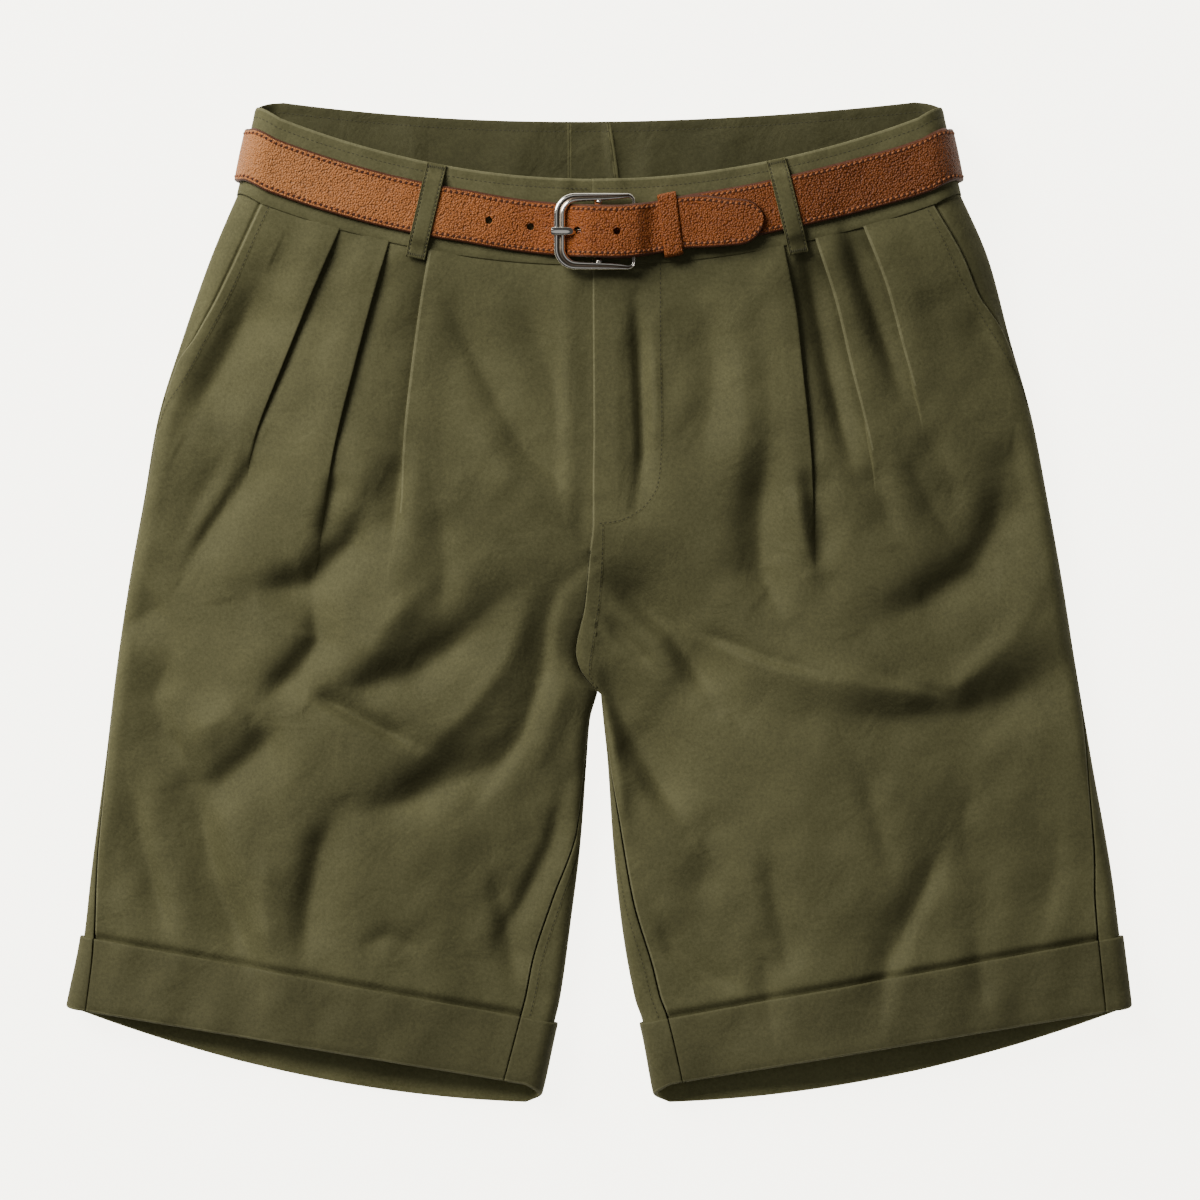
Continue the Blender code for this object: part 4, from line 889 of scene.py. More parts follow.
def waistband_half(side, name):
    """From the centre front round to the centre back; the right end runs under the left."""
    rows = []
    for below, out in BAND_ROUTE:
        cut = section(side, round(level_below_rim(below), 5))
        front, back = cut.girth(), cut.girth(True)
        turn = math.pi / 2 * cut.radius
        over = np.linspace(front - 20.0, turn, 110)
        round_side = np.linspace(turn, -turn, 30)[1:]
        under = -np.linspace(turn, back - 0.1, 125)[1:]
        girths = np.concatenate([over, round_side, under])
        outs = np.full(girths.shape, out)
        if side == RIGHT:
            girths = np.concatenate([np.linspace(front + 8.0, front - 19.0, 14), girths])
            sunk = -(CLOTH + 0.9) * smooth((girths[:14] - front + 19.0) / 11.0)
            outs = np.concatenate([out + sunk, outs])
        else:
            tip = np.array([front - 3.0, front - 0.4, front - 0.05, front - 0.4])
            girths = np.concatenate([tip, np.linspace(front - 1.2, front - 19.0, 10), girths])
            closed = np.clip(BAND_TIP, -0.8, max(out, -0.5))
            outs = np.concatenate([closed, np.full(10, out), outs])
        rows.append(cut.points(girths, outs))
    obj = grid(name, rows, CLOTH_LOOK, flip=side == LEFT)
    paint_rows(obj, len(rows[0]), BAND_INNER_ROWS, INSIDE_SHADE_LOOK)
    paint_rows(obj, len(rows[0]), BAND_WEAR_AND_HIGHLIGHT_ROWS, WEAR_AND_HIGHLIGHT_LOOK)
    return obj


# The turn-up across its height: level past its top or its end in millimetres, off the leg's cloth
CUFF_ROUTE = (
    ("top", 7.0, 0.9), ("top", 1.2, 0.95), ("top", 0.2, 1.25), ("top", 0.0, 1.75),
    ("top", 0.3, 2.15), ("top", 1.4, 2.35), ("top", 5.0, 2.35), ("top", 10.0, 2.35),
    ("top", 15.0, 2.35), ("top", 20.0, 2.35), ("top", 25.0, 2.35), ("top", 30.0, 2.35),
    ("top", 35.0, 2.3), ("end", -6.0, 2.3), ("end", -1.3, 2.2), ("end", -0.6, 1.95),
    ("end", 0.0, 1.3), ("end", 0.2, 0.6), ("end", -0.1, -0.1), ("end", -0.9, -0.75),
    ("end", -4.0, -0.95), ("end", -12.0, -0.95), ("end", -22.0, -0.95), ("end", -32.0, -0.9),
)
# Rows of its faces at the end, painted lighter as edge wear and a painted highlight, and rows
# inside the leg, painted lighter as painted light
CUFF_WEAR_AND_HIGHLIGHT_ROWS, CUFF_INNER_ROWS = (14, 15), range(18, 23)
# Its ends, pinched towards its middle layer: distance from the seam, thinner by
CUFF_MIDDLE = 0.7
CUFF_PINCH = ((2.0, 0.8), (0.3, 0.55), (0.0, 0.3), (0.25, 0.08))


def cuff(side, back, name):
    rows = []
    for place, past, out in CUFF_ROUTE:
        level = (CUFF_LEVEL if place == "top" else 1.0) + past / PANEL_LENGTH
        cut = section(side, round(level, 5))
        whole, under = cut.girth(), cut.girth(True)
        outer = cut.girth_at(look_up(OUTER_SEAM, level, by_side(side)))
        inner = cut.girth_at(look_up(INNER_SEAM, level, by_side(side)))
        if back:
            start, end = SEAM - outer, under + inner - SEAM
            girths = wrapped(cut, start + 1.0, end - 1.0, 80, 28)
        else:
            start, end = outer + SEAM, whole - inner - SEAM
            girths = np.linspace(start + 1.0, end - 1.0, 170)
        toward = np.sign(out - CUFF_MIDDLE)
        edge = [(a, out - b * toward) for a, b in CUFF_PINCH]
        girths, outs = with_edges(girths, np.full(girths.shape, out), start, end, edge)
        rows.append(cut.points(girths, outs, back))
    obj = grid(name, rows, CUFF_SHADE_LOOK, flip=(side == RIGHT) ^ back)
    paint_rows(obj, len(rows[0]), CUFF_WEAR_AND_HIGHLIGHT_ROWS, WEAR_AND_HIGHLIGHT_LOOK)
    if back:
        # Painted light inside the back turn-up
        paint_rows(obj, len(rows[0]), CUFF_INNER_ROWS, CUFF_INSIDE_LIT_LOOK)
    return obj


# Seams and stitches

def tree_of(objs):
    """The joint surface of pieces, in millimetres, for laying seams on it."""
    points, faces = [], []
    for obj in objs:
        start = len(points)
        points += [vert.co / MM for vert in obj.data.vertices]
        faces += [[start + k for k in face.vertices] for face in obj.data.polygons]
    return BVHTree.FromPolygons(points, faces)


def drop(tree, x, y):
    """Point and upward normal of the surface under a place, or two times None."""
    hit, normal, _, _ = tree.ray_cast(Vector((x, y, 100.0)), Vector((0, 0, -1.0)))
    if hit is not None and normal.z < 0:
        normal = -normal
    return hit, normal


def lengths_along(points):
    """Distance of each point from the first, along the line through them."""
    return np.concatenate([[0], np.cumsum(np.linalg.norm(np.diff(points, axis=0), axis=1))])


def spaced(route, pitch):
    """Points a pitch apart along a smooth line through a route."""
    route = np.asarray(route, float)
    along = lengths_along(route)
    if len(route) > 2:
        slopes = np.gradient(route, along, axis=0)
        fine = np.linspace(0, along[-1], 20 * len(route))
        k = np.clip(np.searchsorted(along, fine, "right") - 1, 0, len(route) - 2)
        run = (along[k + 1] - along[k])[:, None]
        t = (fine - along[k])[:, None] / run
        route = hermite(t, run, route[k], slopes[k], route[k + 1], slopes[k + 1])
        along = lengths_along(route)
    at = np.linspace(0, along[-1], max(2, round(along[-1] / pitch) + 1))
    return np.stack([np.interp(at, along, route[:, k]) for k in range(route.shape[1])], 1)


def on_surface(tree, route, pitch):
    """(point, direction, normal) at even places of a plan route laid on a surface."""
    found = [drop(tree, x, y) for x, y in spaced(route, pitch)]
    kept = [(hit, normal) for hit, normal in found if hit is not None]
    ways = np.gradient(np.array([hit for hit, _ in kept]), axis=0)
    return [(hit, Vector(way).normalized(), normal) for (hit, normal), way in zip(kept, ways)]


def track(places, above):
    """(point, direction, normal) along places, with normals towards the places above them."""
    ways = np.gradient(np.array(places), axis=0)
    return [
        (Vector(p), Vector(w).normalized(), (Vector(q) - Vector(p)).normalized())
        for p, w, q in zip(places, ways, above)
    ]


# Across a sewn line: aside and height, a groove between two soft welts
WELT = ((-1.0, -0.25), (-0.5, 0.16), (-0.15, -0.04), (0.15, -0.04), (0.5, 0.16), (1.0, -0.25))


def welt(name, tracks, scale=1.0):
    """Narrow strips that pucker the cloth along sewn lines."""
    points, faces = [], []
    for line in tracks:
        first = len(points)
        for place, way, normal in line:
            across = normal.cross(way).normalized()
            points += [place + across * a * scale + normal * h * scale for a, h in WELT]
        faces += [tuple(first + k for k in face) for face in grid_faces(len(line), len(WELT))]
    return add_mesh(name, points, faces, SEAM_LOOK)


# One stitch: share of its length, half width, height
STITCH = (
    (-0.5, 0.0, -0.1), (-0.36, 0.5, 0.7), (0.0, 0.62, 1.0), (0.36, 0.5, 0.7), (0.5, 0.0, -0.1),
)


def stitches(name, tracks, length, width, height, material, slant=0.0):
    """A thread's stitches in rows, as low capsules."""
    points, faces = [], []
    for line in tracks:
        for place, way, normal in line:
            across = normal.cross(way).normalized()
            along = way * math.cos(slant) + across * math.sin(slant)
            across = normal.cross(along).normalized()
            first = len(points)
            for share, half, up in STITCH:
                middle = place + along * share * length
                for k in range(5):
                    angle = math.pi * k / 4
                    points.append(
                        middle + across * half * width * math.cos(angle)
                        + normal * (up * height * math.sin(angle) - 0.05)
                    )
            faces += [tuple(first + k for k in face) for face in grid_faces(len(STITCH), 5)]
    return add_mesh(name, points, faces, material)


# Belt

# Spans across the top of a strap or loop, and points round each of its edges
BAR_TOP, BAR_END = 30, 5


def rounded_bar(half, thick, corner, dome, groove_at=0.0, groove=0.0):
    """Closed outline across a strap: distance from its middle line, height off its middle."""
    flat, outline = half - corner, []
    for k in range(BAR_TOP + 1):
        v = mix(-flat, flat, k / BAR_TOP)
        up = thick / 2 + dome * (1 - (v / half) ** 2)
        outline.append((v, up - groove * math.exp(-(((abs(v) - groove_at) / 0.55) ** 2))))

    def end(middle, first):
        angles = [math.radians(first - 36 * k) for k in range(1, BAR_END + 1)]
        return [(middle + corner * math.cos(a), thick / 2 * math.sin(a)) for a in angles]

    under = [(v, -thick / 2) for v in np.linspace(flat, -flat, 7)[1:-1]]
    return outline + end(flat, 90) + under + end(-flat, 270)


# Upper stretch of the strap from its tip: x, height of its middle off the waistband
TIP_STRETCH = (
    (101.0, 6.4), (99.5, 6.4), (96.0, 6.7), (91.0, 7.1), (86.0, 7.5), (70.0, 7.5), (52.0, 7.5),
    (34.0, 7.5), (28.5, 9.8), (23.0, 12.3), (14.0, 12.5), (2.0, 12.5), (-5.0, 12.3), (-9.0, 11.0),
    (-13.6, 8.2), (-18.0, 5.3), (-22.0, 4.0), (-30.0, 3.8), (-42.0, 2.5), (-60.0, 2.5),
)
# Stretch under the tip: x, height of its middle, then its first step, its step and its end
UNDER_STRETCH = (
    (2.3, UNDER_STRAP_OUT), (84.0, UNDER_STRAP_OUT), (104.0, STRAP_OUT), (170.0, STRAP_OUT),
)
UNDER_START, UNDER_STEP, UNDER_END_X = 6.0, 1.8, 2.5
# Where the upper stretch meets the part round the waist, and its step
JOIN_X, JOIN_OVERLAP, STRAP_STEP = -44.0, 0.5, 1.5
# Stations of the part round the waist that lie on the wearer's left
LEFT_STATIONS = 165
STRAP_MIDDLE = STRAP_BELOW_RIM + STRAP_WIDTH / 2
STITCH_INSET, STITCH_PITCH = 3.0, 3.5
# x, how far the belt sags below its even line
SAG = (
    (-80.0, 0.0), (-49.0, 1.8), (-27.0, 2.8), (-10.0, 3.7), (13.0, 4.4), (25.0, 3.7), (38.0, 2.3),
    (60.0, 0.0), (85.0, -0.5), (137.0, -1.4), (165.0, -1.0), (190.0, 0.0),
)


def sag(x):
    return look_up(SAG, x, 1)


def tip_out(x):
    return look_up(sorted(TIP_STRETCH), x, 1)


def strap_stations():
    """The strap from its tip round the waist to its end under the tip, as makers of places.

    Each station is (half width, droop, maker), and a maker turns a distance below the rim and a
    height off the strap's middle into a point."""
    stations = []
    tip_x = TIP_STRETCH[0][0]
    near_tip = tip_x - TIP_ROUND * (1 - np.cos(np.linspace(0.12, math.pi / 2, 12)))
    for x in [*near_tip, *np.arange(tip_x - TIP_ROUND - STRAP_STEP, JOIN_X, -STRAP_STEP)]:
        from_tip = tip_x - x
        half = mix(STRAP_WIDTH, TIP_WIDTH, smooth((x - 60) / 30)) / 2
        if from_tip < TIP_ROUND:
            half *= max(math.sqrt(1 - (1 - from_tip / TIP_ROUND) ** 2), 0.08)
        droop = TIP_DROOP * smooth((x - KEEPER_X) / (tip_x - KEEPER_X))
        droop += sag(x)
        out = tip_out(x)
        stations.append((
            half, droop, lambda below, up, x=x, out=out: waist_point(x, below, out + up),
        ))
    half = STRAP_WIDTH / 2

    def round_waist(side, share, out):
        def place(below, up):
            cut = section(side, round(level_below_rim(below), 5))
            turn = math.pi / 2 * cut.radius
            front = cut.girth_at(abs(cut.outer_x - side * (JOIN_OVERLAP - JOIN_X)))
            whole = cut.girth(True)
            if share < 1:
                return cut.points(mix(front, turn, share), out + up)[0]
            if share < 2:
                return cut.points(mix(turn, -turn, share - 1), out + up)[0]
            return cut.points(-mix(turn, whole - 0.6, share - 2), out + up)[0]

        droop = sag(place(STRAP_MIDDLE, 0.0)[0]) if share < 1 else 0.0
        return half, droop, place

    # A share is below 1 over the front, below 2 round the side and up to 3 along the back
    shares = [*np.linspace(0.01, 1, 118), *np.linspace(1, 2, 26)[1:], *np.linspace(2, 3, 110)[1:]]
    stations += [round_waist(RIGHT, share, STRAP_OUT) for share in shares]
    stations += [round_waist(LEFT, share, STRAP_OUT) for share in shares[::-1][:LEFT_STATIONS]]
    last_x = stations[-1][2](STRAP_MIDDLE, 0.0)[0]
    for x in np.arange(last_x - UNDER_START, UNDER_END_X, -UNDER_STEP):
        out = look_up(UNDER_STRETCH, x, 1)
        stations.append((
            half, sag(x), lambda below, up, x=x, out=out: waist_point(x, below, out + up),
        ))
    return stations


def strap_mesh():
    stations = strap_stations()
    rows = []
    for half, droop, maker in stations:
        outline = rounded_bar(half, STRAP_THICKNESS - 0.1, min(1.3, 0.8 * half), 0.25,
                              half - STITCH_INSET, 0.22 if half > 6 else 0.0)
        rows.append([maker(STRAP_MIDDLE + droop + v, up) for v, up in outline])
    obj = grid("belt_strap_leather", rows, LEATHER_LOOK, wrap=True, caps=True)
    obj.data.materials.append(EDGE_LOOK)
    count = len(rows[0])
    painted = {*range(BAR_TOP + 1, BAR_TOP + BAR_END + 1), *range(count - BAR_END, count)}
    for face in obj.data.polygons:
        if any(k % count in painted for k in face.vertices):
            face.material_index = 1
    return stations, obj


def strap_stitch_tracks(stations, first):
    """Places along both edges of the strap, a pitch apart from a first one, with their normals."""
    tracks = []
    for sign in (-1, 1):
        line = []
        for half, droop, maker in stations:
            if half < 4.0:
                continue
            below = STRAP_MIDDLE + droop + sign * (half - STITCH_INSET)
            here = Vector(maker(below, STRAP_THICKNESS / 2 + 0.1))
            if not line or (here - line[-1][0]).length > 0.4:
                above = Vector(maker(below, STRAP_THICKNESS / 2 + 1.1))
                line.append((here, (above - here).normalized()))
        points, normals = (np.array(column) for column in zip(*line))
        along = lengths_along(points)
        at = np.arange(first, along[-1], STITCH_PITCH)
        places, facing = (
            np.stack([np.interp(at, along, values[:, k]) for k in range(3)], 1)
            for values in (points, normals)
        )
        tracks.append([
            (Vector(p), Vector(w).normalized(), Vector(n).normalized())
            for p, w, n in zip(places, np.gradient(places, axis=0), facing)
        ])
    return tracks


def cutter(x):
    bpy.ops.mesh.primitive_cylinder_add(vertices=28, radius=HOLE_RADIUS * MM, depth=12 * MM)
    obj = bpy.context.object
    obj.location = Vector(waist_point(x, STRAP_MIDDLE + sag(x), tip_out(x))) * MM
    return obj


def punch(obj, cutters):
    """Cuts holes and applies them, so that no helper stays in the scene."""
    for tool in cutters:
        hole = obj.modifiers.new("hole", "BOOLEAN")
        hole.operation = "DIFFERENCE"
        hole.object = tool
    bpy.context.view_layer.update()
    cut = obj.evaluated_get(bpy.context.evaluated_depsgraph_get())
    mesh = bpy.data.meshes.new_from_object(cut)
    obj.modifiers.clear()
    old = obj.data
    obj.data = mesh
    bpy.data.meshes.remove(old)
    for tool in cutters:
        bpy.data.objects.remove(tool)


def belt_place(x, up, out):
    """Point at the buckle: across, up from the strap's middle line, off the waistband."""
    base = waist_point(FRAME_X, STRAP_MIDDLE + sag(FRAME_X), out)
    return Vector((x, base[1] + up, base[2]))


def smooth_by_angle(obj, degrees):
    obj.data.set_sharp_from_angle(angle=math.radians(degrees))


def sweep(name, path, outline_at, material, closed=True):
    """Carries an outline (aside, up) along a path; aside is level, to the path's right."""
    path = [Vector(point) for point in path]
    rows = []
    for k, point in enumerate(path):
        ahead = path[(k + 1) % len(path)] if closed or k < len(path) - 1 else point
        behind = path[k - 1] if closed or k else point
        way = (ahead - behind).normalized()
        aside = way.cross(Vector((0, 0, 1))).normalized()
        upward = aside.cross(way).normalized()
        rows.append([point + aside * a + upward * b for a, b in outline_at(k / len(path))])
    if closed:
        return closed_tube(name, rows, material)
    return grid(name, rows, material, wrap=True, caps=True)


# Across the frame's wire, from its outer edge (0) to its inner edge (-1): share, height
FRAME_OUTLINE = (
    (0.0, -1.2), (0.0, 0.3), (-0.04, 0.9), (-0.14, 1.45), (-0.24, 1.55), (-0.34, 1.35),
    (-0.43, 0.85), (-0.5, 0.7), (-0.57, 0.85), (-0.66, 1.35), (-0.76, 1.55), (-0.86, 1.45),
    (-0.96, 0.9), (-1.0, 0.3), (-1.0, -1.2), (-0.85, -1.7), (-0.15, -1.7),
)
# Columns of its faces in the groove, which are painted darker as painted shade
GROOVE_COLUMNS = (5, 6, 7, 8)
# Radii of the frame's corners on the bar's side and at the prong's tip
FRAME_BAR_CORNER, FRAME_END_CORNER = 5.0, 13.0
# x along the frame, width of its wire there
FRAME_TAPER = ((-27.8, 7.0), (-22.0, 6.4), (-12.0, 5.2), (5.0, 4.4), (18.0, 2.8), (22.2, 1.8))


def buckle_frame():
    """Two ridges with a groove between them, the groove painted darker as painted shade; the rails
    taper towards the strap's tip.
    """
    half_x, half_y = FRAME_WIDTH / 2, FRAME_HEIGHT / 2
    plan = []
    for x_sign, y_sign, start in ((1, 1, 0), (-1, 1, 90), (-1, -1, 180), (1, -1, 270)):
        radius = FRAME_BAR_CORNER if x_sign > 0 else FRAME_END_CORNER
        for k in range(13):
            angle = math.radians(start + 7.5 * k)
            plan.append((x_sign * (half_x - radius) + radius * math.cos(angle),
                         y_sign * (half_y - radius) + radius * math.sin(angle)))
        if x_sign == y_sign:
            rail = np.linspace(half_x - FRAME_BAR_CORNER, FRAME_END_CORNER - half_x, 12)[1:-1]
            plan += [(x, y_sign * half_y) for x in rail[::x_sign]]
    path = [belt_place(FRAME_X + x, y, FRAME_OUT - smooth((x - 12.0) / 12.0)) for x, y in plan]

    def outline(share):
        width = look_up(FRAME_TAPER, path[round(share * len(path)) % len(path)].x, 1)
        return [(a * width, b * min(1.0, width / 3.4)) for a, b in FRAME_OUTLINE]

    obj = sweep("buckle_frame_metal", path, outline, METAL_LOOK)
    paint_columns(obj, len(FRAME_OUTLINE), GROOVE_COLUMNS, GROOVE_SHADE_LOOK)
    smooth_by_angle(obj, 60)
    return obj


def turned(name, profile, middle, material, sides=28):
    """A turned piece about a line along Y: radius and place along it."""
    rows = []
    for radius, along in profile:
        rows.append([
            middle + Vector((radius * math.cos(math.tau * k / sides), along,
                             radius * math.sin(math.tau * k / sides)))
            for k in range(sides)
        ])
    obj = grid(name, rows, material, wrap=True, caps=True, flip=True)
    smooth_by_angle(obj, 50)
    return obj


def buckle_bar():
    end = FRAME_HEIGHT / 2 - 3.9
    half = ((0.6, end), (1.5, end - 0.15), (2.1, end - 0.8), (2.2, end - 1.5), (1.9, end - 2.3),
            (1.2, end - 3.1), (1.2, 1.0))
    profile = [*half, *((radius, -along) for radius, along in half[::-1])]
    return turned("buckle_bar_metal", profile, belt_place(0.0, 0.0, FRAME_OUT), METAL_LOOK)


def prong():
    route = ((-1.7, 6.4), (-5.0, 6.4), (-9.0, 6.0), (-12.0, 5.8), (-14.2, 6.8), (-15.4, 8.6),
             (-16.6, 9.9), (-18.6, 10.7), (-22.0, 11.2), (-27.0, 11.4), (-29.2, 11.2))
    path = [belt_place(x, 0.0, out) for x, out in spaced(route, 0.8)]

    def outline(share):
        wide = mix(3.2, 5.0, smooth((share - 0.3) / 0.4)) * (1.0 if share < 0.97 else 0.8)
        return [
            (wide / 2 * math.cos(math.tau * k / 20), 1.2 * math.sin(math.tau * k / 20))
            for k in range(20)
        ][::-1]

    obj = sweep("buckle_prong_metal", path, outline, METAL_LOOK, closed=False)
    smooth_by_angle(obj, 50)
    return obj


def keeper():
    """A closed leather band round both layers of the strap."""
    low = UNDER_STRAP_OUT - STRAP_THICKNESS / 2 - 0.9
    high = tip_out(KEEPER_X) + STRAP_THICKNESS / 2 + 1.05
    ring, corner = [], 2.0
    middle, half = (low + high) / 2, (high - low) / 2
    for up_sign, out_sign, start in ((1, 1, 0), (-1, 1, 90), (-1, -1, 180), (1, -1, 270)):
        for k in range(7):
            angle = math.radians(start + 15 * k)
            ring.append((
                up_sign * (KEEPER_HALF_HEIGHT - corner) + corner * math.cos(angle),
                middle + out_sign * (half - corner) + corner * math.sin(angle),
            ))
        if out_sign == 1 and up_sign == 1:
            ring += [(v, high) for v in np.linspace(14.0, -14.0, 15)]
        if out_sign == -1 and up_sign == -1:
            ring += [(v, low) for v in np.linspace(-14.0, 14.0, 8)]
    across = ((-0.5, 0.0), (-0.47, 0.45), (-0.40, 0.6), (-0.2, 0.66), (0.0, 0.68), (0.2, 0.66),
              (0.40, 0.6), (0.47, 0.45), (0.5, 0.0), (0.47, -0.45), (0.4, -0.6), (0.0, -0.6),
              (-0.4, -0.6), (-0.47, -0.45))
    rows = []
    for k, (up, out) in enumerate(ring):
        before, after = ring[k - 1], ring[(k + 1) % len(ring)]
        way = Vector((after[0] - before[0], after[1] - before[1])).normalized()
        row = []
        for share, thick in across:
            u, w = up + way.y * thick, out - way.x * thick
            x = KEEPER_X + share * KEEPER_WIDTH - KEEPER_LEAN * u
            row.append(waist_point(x, STRAP_MIDDLE + sag(x) - u, w))
        rows.append(np.array(row))
    return closed_tube("belt_keeper_leather", rows, LEATHER_LOOK)


# Belt loop along its length: distance below the rim, height of its middle off the waistband
LOOP_PROFILE = (
    (0.3, 1.6), (2.0, 1.5), (4.5, 1.7), (8.0, 3.4), (11.0, 4.9), (14.0, 5.15), (29.0, 5.2),
    (44.0, 5.1), (48.0, 4.6), (51.0, 3.2), (53.5, 2.2), (56.0, 2.0), (59.5, 2.0),
)
# Rows of tacks across its ends, in the same columns
LOOP_TACKS = ((2.4, 1.5), (57.4, 2.0))


def belt_loop(name, x_top, x_bottom, back):
    def place(aside, below, up):
        x = mix(x_top, x_bottom, below / LOOP_PROFILE[-1][0]) + aside
        return waist_point(x, below, up, back)

    stitched = LOOP_WIDTH / 2 - 1.4
    outline = rounded_bar(LOOP_WIDTH / 2, 1.2, 0.55, 0.12, stitched, 0.3)[::-1]
    rows = [
        [place(v, below, out + up) for v, up in outline] for below, out in spaced(LOOP_PROFILE, 1.3)
    ]
    tracks = []
    for aside in (-stitched, stitched):
        line = spaced(LOOP_PROFILE, 2.6)[1:-1]
        tracks.append(track([place(aside, below, out + 0.66) for below, out in line],
                            [place(aside, below, out + 1.6) for below, out in line]))
    tacks = []
    for below, out in LOOP_TACKS:
        for k in range(-4, 5):
            here = Vector(place(k * 1.15, below, out + 0.7))
            normal = (Vector(place(k * 1.15, below, out + 1.6)) - here).normalized()
            tacks.append((here, Vector((0.15, 1.0, 0.0)).normalized(), normal))
    obj = grid(name + "_cloth", rows, SEAM_LOOK, wrap=True, caps=True, flip=not back)
    sewn = stitches(name + "_stitches", [*tracks, tacks], 1.9, 0.5, 0.28, THREAD_LOOK)
    return obj, sewn


# The object

def build_cloth():
    made = {}
    for side, word in ((RIGHT, "right"), (LEFT, "left")):
        for key, build, node in (
            ("front", front_panel, "front_panel"), ("back", back_panel, "back_panel"),
            ("facing", pocket_facing, "pocket_facing"), ("band", waistband_half, "waistband"),
        ):
            obj = build(side, f"{key}_{word}_cloth")
            made[f"{key}_{word}"] = show_as(obj, "olive_twill", f"{node}_{word}")
        for layer in ("front", "back"):
            name = f"cuff_{layer}_{word}"
            obj = cuff(side, layer == "back", name + "_cloth")
            made[name] = show_as(obj, "olive_twill", name)
    return made


# Sewn lines that show on the front: plan routes
FLY_STITCH = (
    (37.8, 208.0), (37.8, 162.8), (37.8, 84.0), (37.2, 77.2), (35.3, 69.8), (31.6, 63.5),
    (27.3, 58.6), (22.3, 54.9), (16.7, 51.8), (11.2, 49.9), (1.0, 48.7),
)
FORK_STITCH = ((2.5, 47.4), (1.9, 25.1), (0.0, -0.3), (-4.3, -28.8), (-5.6, -44.9), (-1.5, -55.0))
POCKET_STITCH = {
    RIGHT: ((-203.4, 242.7), (-213.9, 220.4), (-226.9, 191.9), (-243.7, 160.9), (-257.3, 136.1),
            (-267.2, 121.8), (-272.5, 108.0)),
    LEFT: ((202.7, 240.9), (209.6, 227.8), (223.8, 198.1), (235.6, 177.6), (249.9, 155.3),
           (262.3, 131.8), (265.0, 122.0)),
}


def seam_line(side, table, levels, aside, inner):
    """Plan route beside a seam between the front and the back, aside millimetres onto the back."""
    route = []
    for level in levels:
        cut = section(side, round(float(level), 5))
        inset = look_up(table, level, by_side(side))
        girth = cut.girth() - cut.girth_at(inset) + aside if inner else cut.girth_at(inset) - aside
        route.append(cut.points(girth)[0][:2])
    return route


def build_seams(made):
    """Welts and stitches on the fronts and backs, which ride with the piece they are sewn in."""
    front_tree = tree_of([made[k] for k in made if k.startswith(("front_", "back_", "facing_"))])
    sewn = {}
    inseam = np.linspace(0.70, CUFF_LEVEL - 0.004, 30)
    lines = {
        "front_right": [POCKET_STITCH[RIGHT]],
        "front_left": [POCKET_STITCH[LEFT], FLY_STITCH, FORK_STITCH],
        "back_right": [seam_line(RIGHT, INNER_SEAM, inseam, 5.4, True)],
        "back_left": [seam_line(LEFT, INNER_SEAM, inseam, 5.4, True)],
    }
    for key, routes in lines.items():
        tracks = [on_surface(front_tree, route, 1.5) for route in routes]
        dashes = [on_surface(front_tree, route, 2.9) for route in routes]
        pair = [
            welt(key + "_seams", tracks, 1.4),
            stitches(key + "_stitches", dashes, 2.0, 0.5, 0.22, THREAD_LOOK),
        ]
        for obj in pair:
            show_as(obj, "olive_twill")
        sewn[key] = pair
    for side, word in ((RIGHT, "right"), (LEFT, "left")):
        tracks = band_tracks(side)
        obj = stitches(f"band_{word}_stitches", tracks, 1.9, 0.45, 0.2, THREAD_LOOK)
        sewn[f"band_{word}"] = [show_as(obj, "olive_twill")]
    inner_lines = [inside_line(-18.3, -18.3), inside_line(5.6, 12.5)]
    obj = welt("band_inner_seams", inner_lines, 1.8)
    sewn["band_right"].append(show_as(obj, "olive_twill"))
    return sewn


def inside_line(x_top, x_bottom):
    """A sewn line on the inside of the waistband's back, from just below the rim down."""
    places, above = [], []
    for below in np.linspace(1.5, 47.0, 30):
        x = mix(x_top, x_bottom, below / 47.0)
        places.append(waist_point(x, below, -0.8, back=True))
        above.append(waist_point(x, below, -1.8, back=True))
    return track(places, above)


def band_tracks(side):
    """Stitches below the waist rim, outside and inside, all the way round one half."""
    tracks = []
    for out, sign in ((0.42, 1), (-0.7, -1)):
        cut = section(side, round(level_below_rim(6.2), 5))
        girths = np.arange(cut.girth() - 4.0, -cut.girth(True) + 3.0, -2.8)
        tracks.append(track(cut.points(girths, out), cut.points(girths, out + 0.5 * sign)))
    return tracks


FRONT_LOOPS = {"belt_loop_front_right": (-99.5, -113.0), "belt_loop_front_left": (108.5, 123.0)}
BACK_LOOPS = {"belt_loop_back_right": (-122.0, -124.0), "belt_loop_centre_back": (-18.3, -18.3),
              "belt_loop_back_left": (118.0, 120.0)}


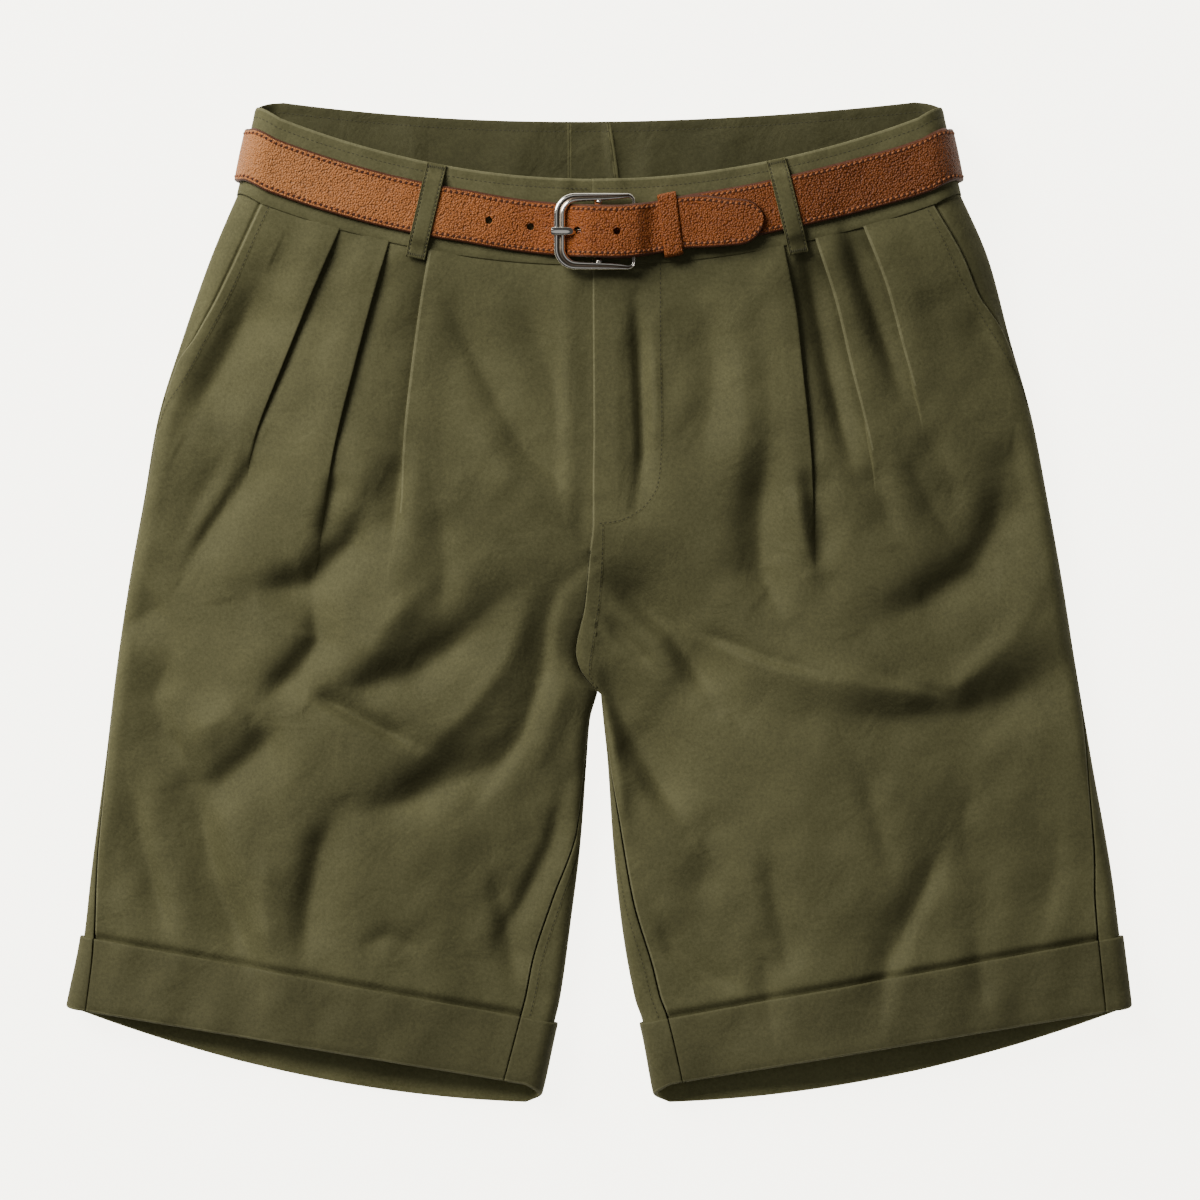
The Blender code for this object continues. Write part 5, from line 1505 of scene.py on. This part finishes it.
def build_belt():
    stations, strap = strap_mesh()
    punch(strap, [cutter(x) for x in HOLES_X])
    show_as(strap, "tan_leather", "belt_strap")
    for name, first, size, material in (
        ("belt_stitches", 1.0, (2.3, 1.1, 0.5), BELT_THREAD_LOOK),
        ("belt_stitch_holes", 1.0 + STITCH_PITCH / 2, (2.0, 1.5, 0.16), STITCH_HOLE_SHADE_LOOK),
    ):
        tracks = strap_stitch_tracks(stations, first)
        show_as(stitches(name, tracks, *size, material, slant=0.35), "tan_leather")
    show_as(keeper(), "tan_leather", "belt_keeper")
    show_as(buckle_frame(), "polished_steel", "buckle_frame")
    show_as(buckle_bar(), "polished_steel", "buckle_bar")
    show_as(prong(), "polished_steel", "buckle_prong")
    for name, material in (("belt_bar_fold", LEATHER_LOOK), ("fly_zip", ZIP_LOOK)):
        bpy.data.objects[name].material_slots[0].material = material
    loops = []
    for table, back in ((FRONT_LOOPS, False), (BACK_LOOPS, True)):
        for name, (x_top, x_bottom) in table.items():
            obj, sewn = belt_loop(name, x_top, x_bottom, back)
            show_as(obj, "olive_twill", name)
            show_as(sewn, "olive_twill")
            loops.append((obj, sewn))
    return loops


# Stage: a pale floor, a camera straight above, soft light from the upper left. In metres

FLOOR_HALF, FLOOR_Z = 3, -0.0006
# How brightly the floor glows on the things around it, and as it is seen
FLOOR_GLOW, FLOOR_SEEN = 0.9, 5.6
# Name, place, diameter, watts, colour
LIGHTS = (
    ("key", (-2.05, 1.76, 1.85), 1.9, 138.0, (1.0, 0.98, 0.94)),
    ("glint", (-1.1, 1.5, 2.2), 0.4, 8.0, (1.0, 0.98, 0.95)),
    ("fill", (0.3, -0.2, 2.4), 2.2, 3.8, (1.0, 1.0, 1.0)),
)
# The picture is 0.744 m across at the height of the cloth
CAMERA_PLACE, CLOTH_Z, PICTURE_WIDTH, SENSOR = (0.0006, 0.0015, 3.5), 0.010, 0.744, 36.0


def put(name, data, place):
    obj = bpy.data.objects.new(name, data)
    obj.location = place
    bpy.context.scene.collection.objects.link(obj)
    return obj


def build_floor():
    material, nodes, links, shader = new_material("pale_floor")
    shader.inputs["Base Color"].default_value = (0.80, 0.79, 0.765, 1)
    shader.inputs["Roughness"].default_value = 0.9
    shader.inputs["Emission Color"].default_value = (1.0, 0.975, 0.86, 1)
    shader.inputs["Specular IOR Level"].default_value = 0.0
    seen = nodes.new("ShaderNodeLightPath")
    glow = add_node(nodes, "ShaderNodeMapRange", To_Min=FLOOR_GLOW, To_Max=FLOOR_SEEN)
    links.new(seen.outputs["Is Camera Ray"], glow.inputs["Value"])
    links.new(glow.outputs["Result"], shader.inputs["Emission Strength"])
    mesh = bpy.data.meshes.new("floor")
    corners = ((-1, -1), (1, -1), (1, 1), (-1, 1))
    mesh.from_pydata([(x * FLOOR_HALF, y * FLOOR_HALF, FLOOR_Z) for x, y in corners], [],
                     [(0, 1, 2, 3)])
    mesh.materials.append(material)
    put("floor", mesh, (0.0, 0.0, 0.0))


def build_stage():
    build_floor()
    world = bpy.data.worlds.new("soft_room")
    world.use_nodes = True
    world.node_tree.nodes["Background"].inputs["Color"].default_value = (0.96, 0.98, 1.0, 1)
    world.node_tree.nodes["Background"].inputs["Strength"].default_value = 0.06
    bpy.context.scene.world = world
    for name, place, size, power, colour in LIGHTS:
        data = bpy.data.lights.new(name, "AREA")
        data.shape = "DISK"
        data.size, data.energy, data.color = size, power, colour
        toward = (-Vector(place)).to_track_quat("-Z", "Y")
        put(name, data, place).rotation_euler = toward.to_euler()
    camera = bpy.data.cameras.new("above")
    camera.sensor_width = SENSOR
    camera.lens = SENSOR * (CAMERA_PLACE[2] - CLOTH_Z) / PICTURE_WIDTH
    camera.clip_end = 20.0
    bpy.context.scene.camera = put("above", camera, CAMERA_PLACE)


made = build_cloth()
sewn = build_seams(made)
loops = build_belt()
build_stage()
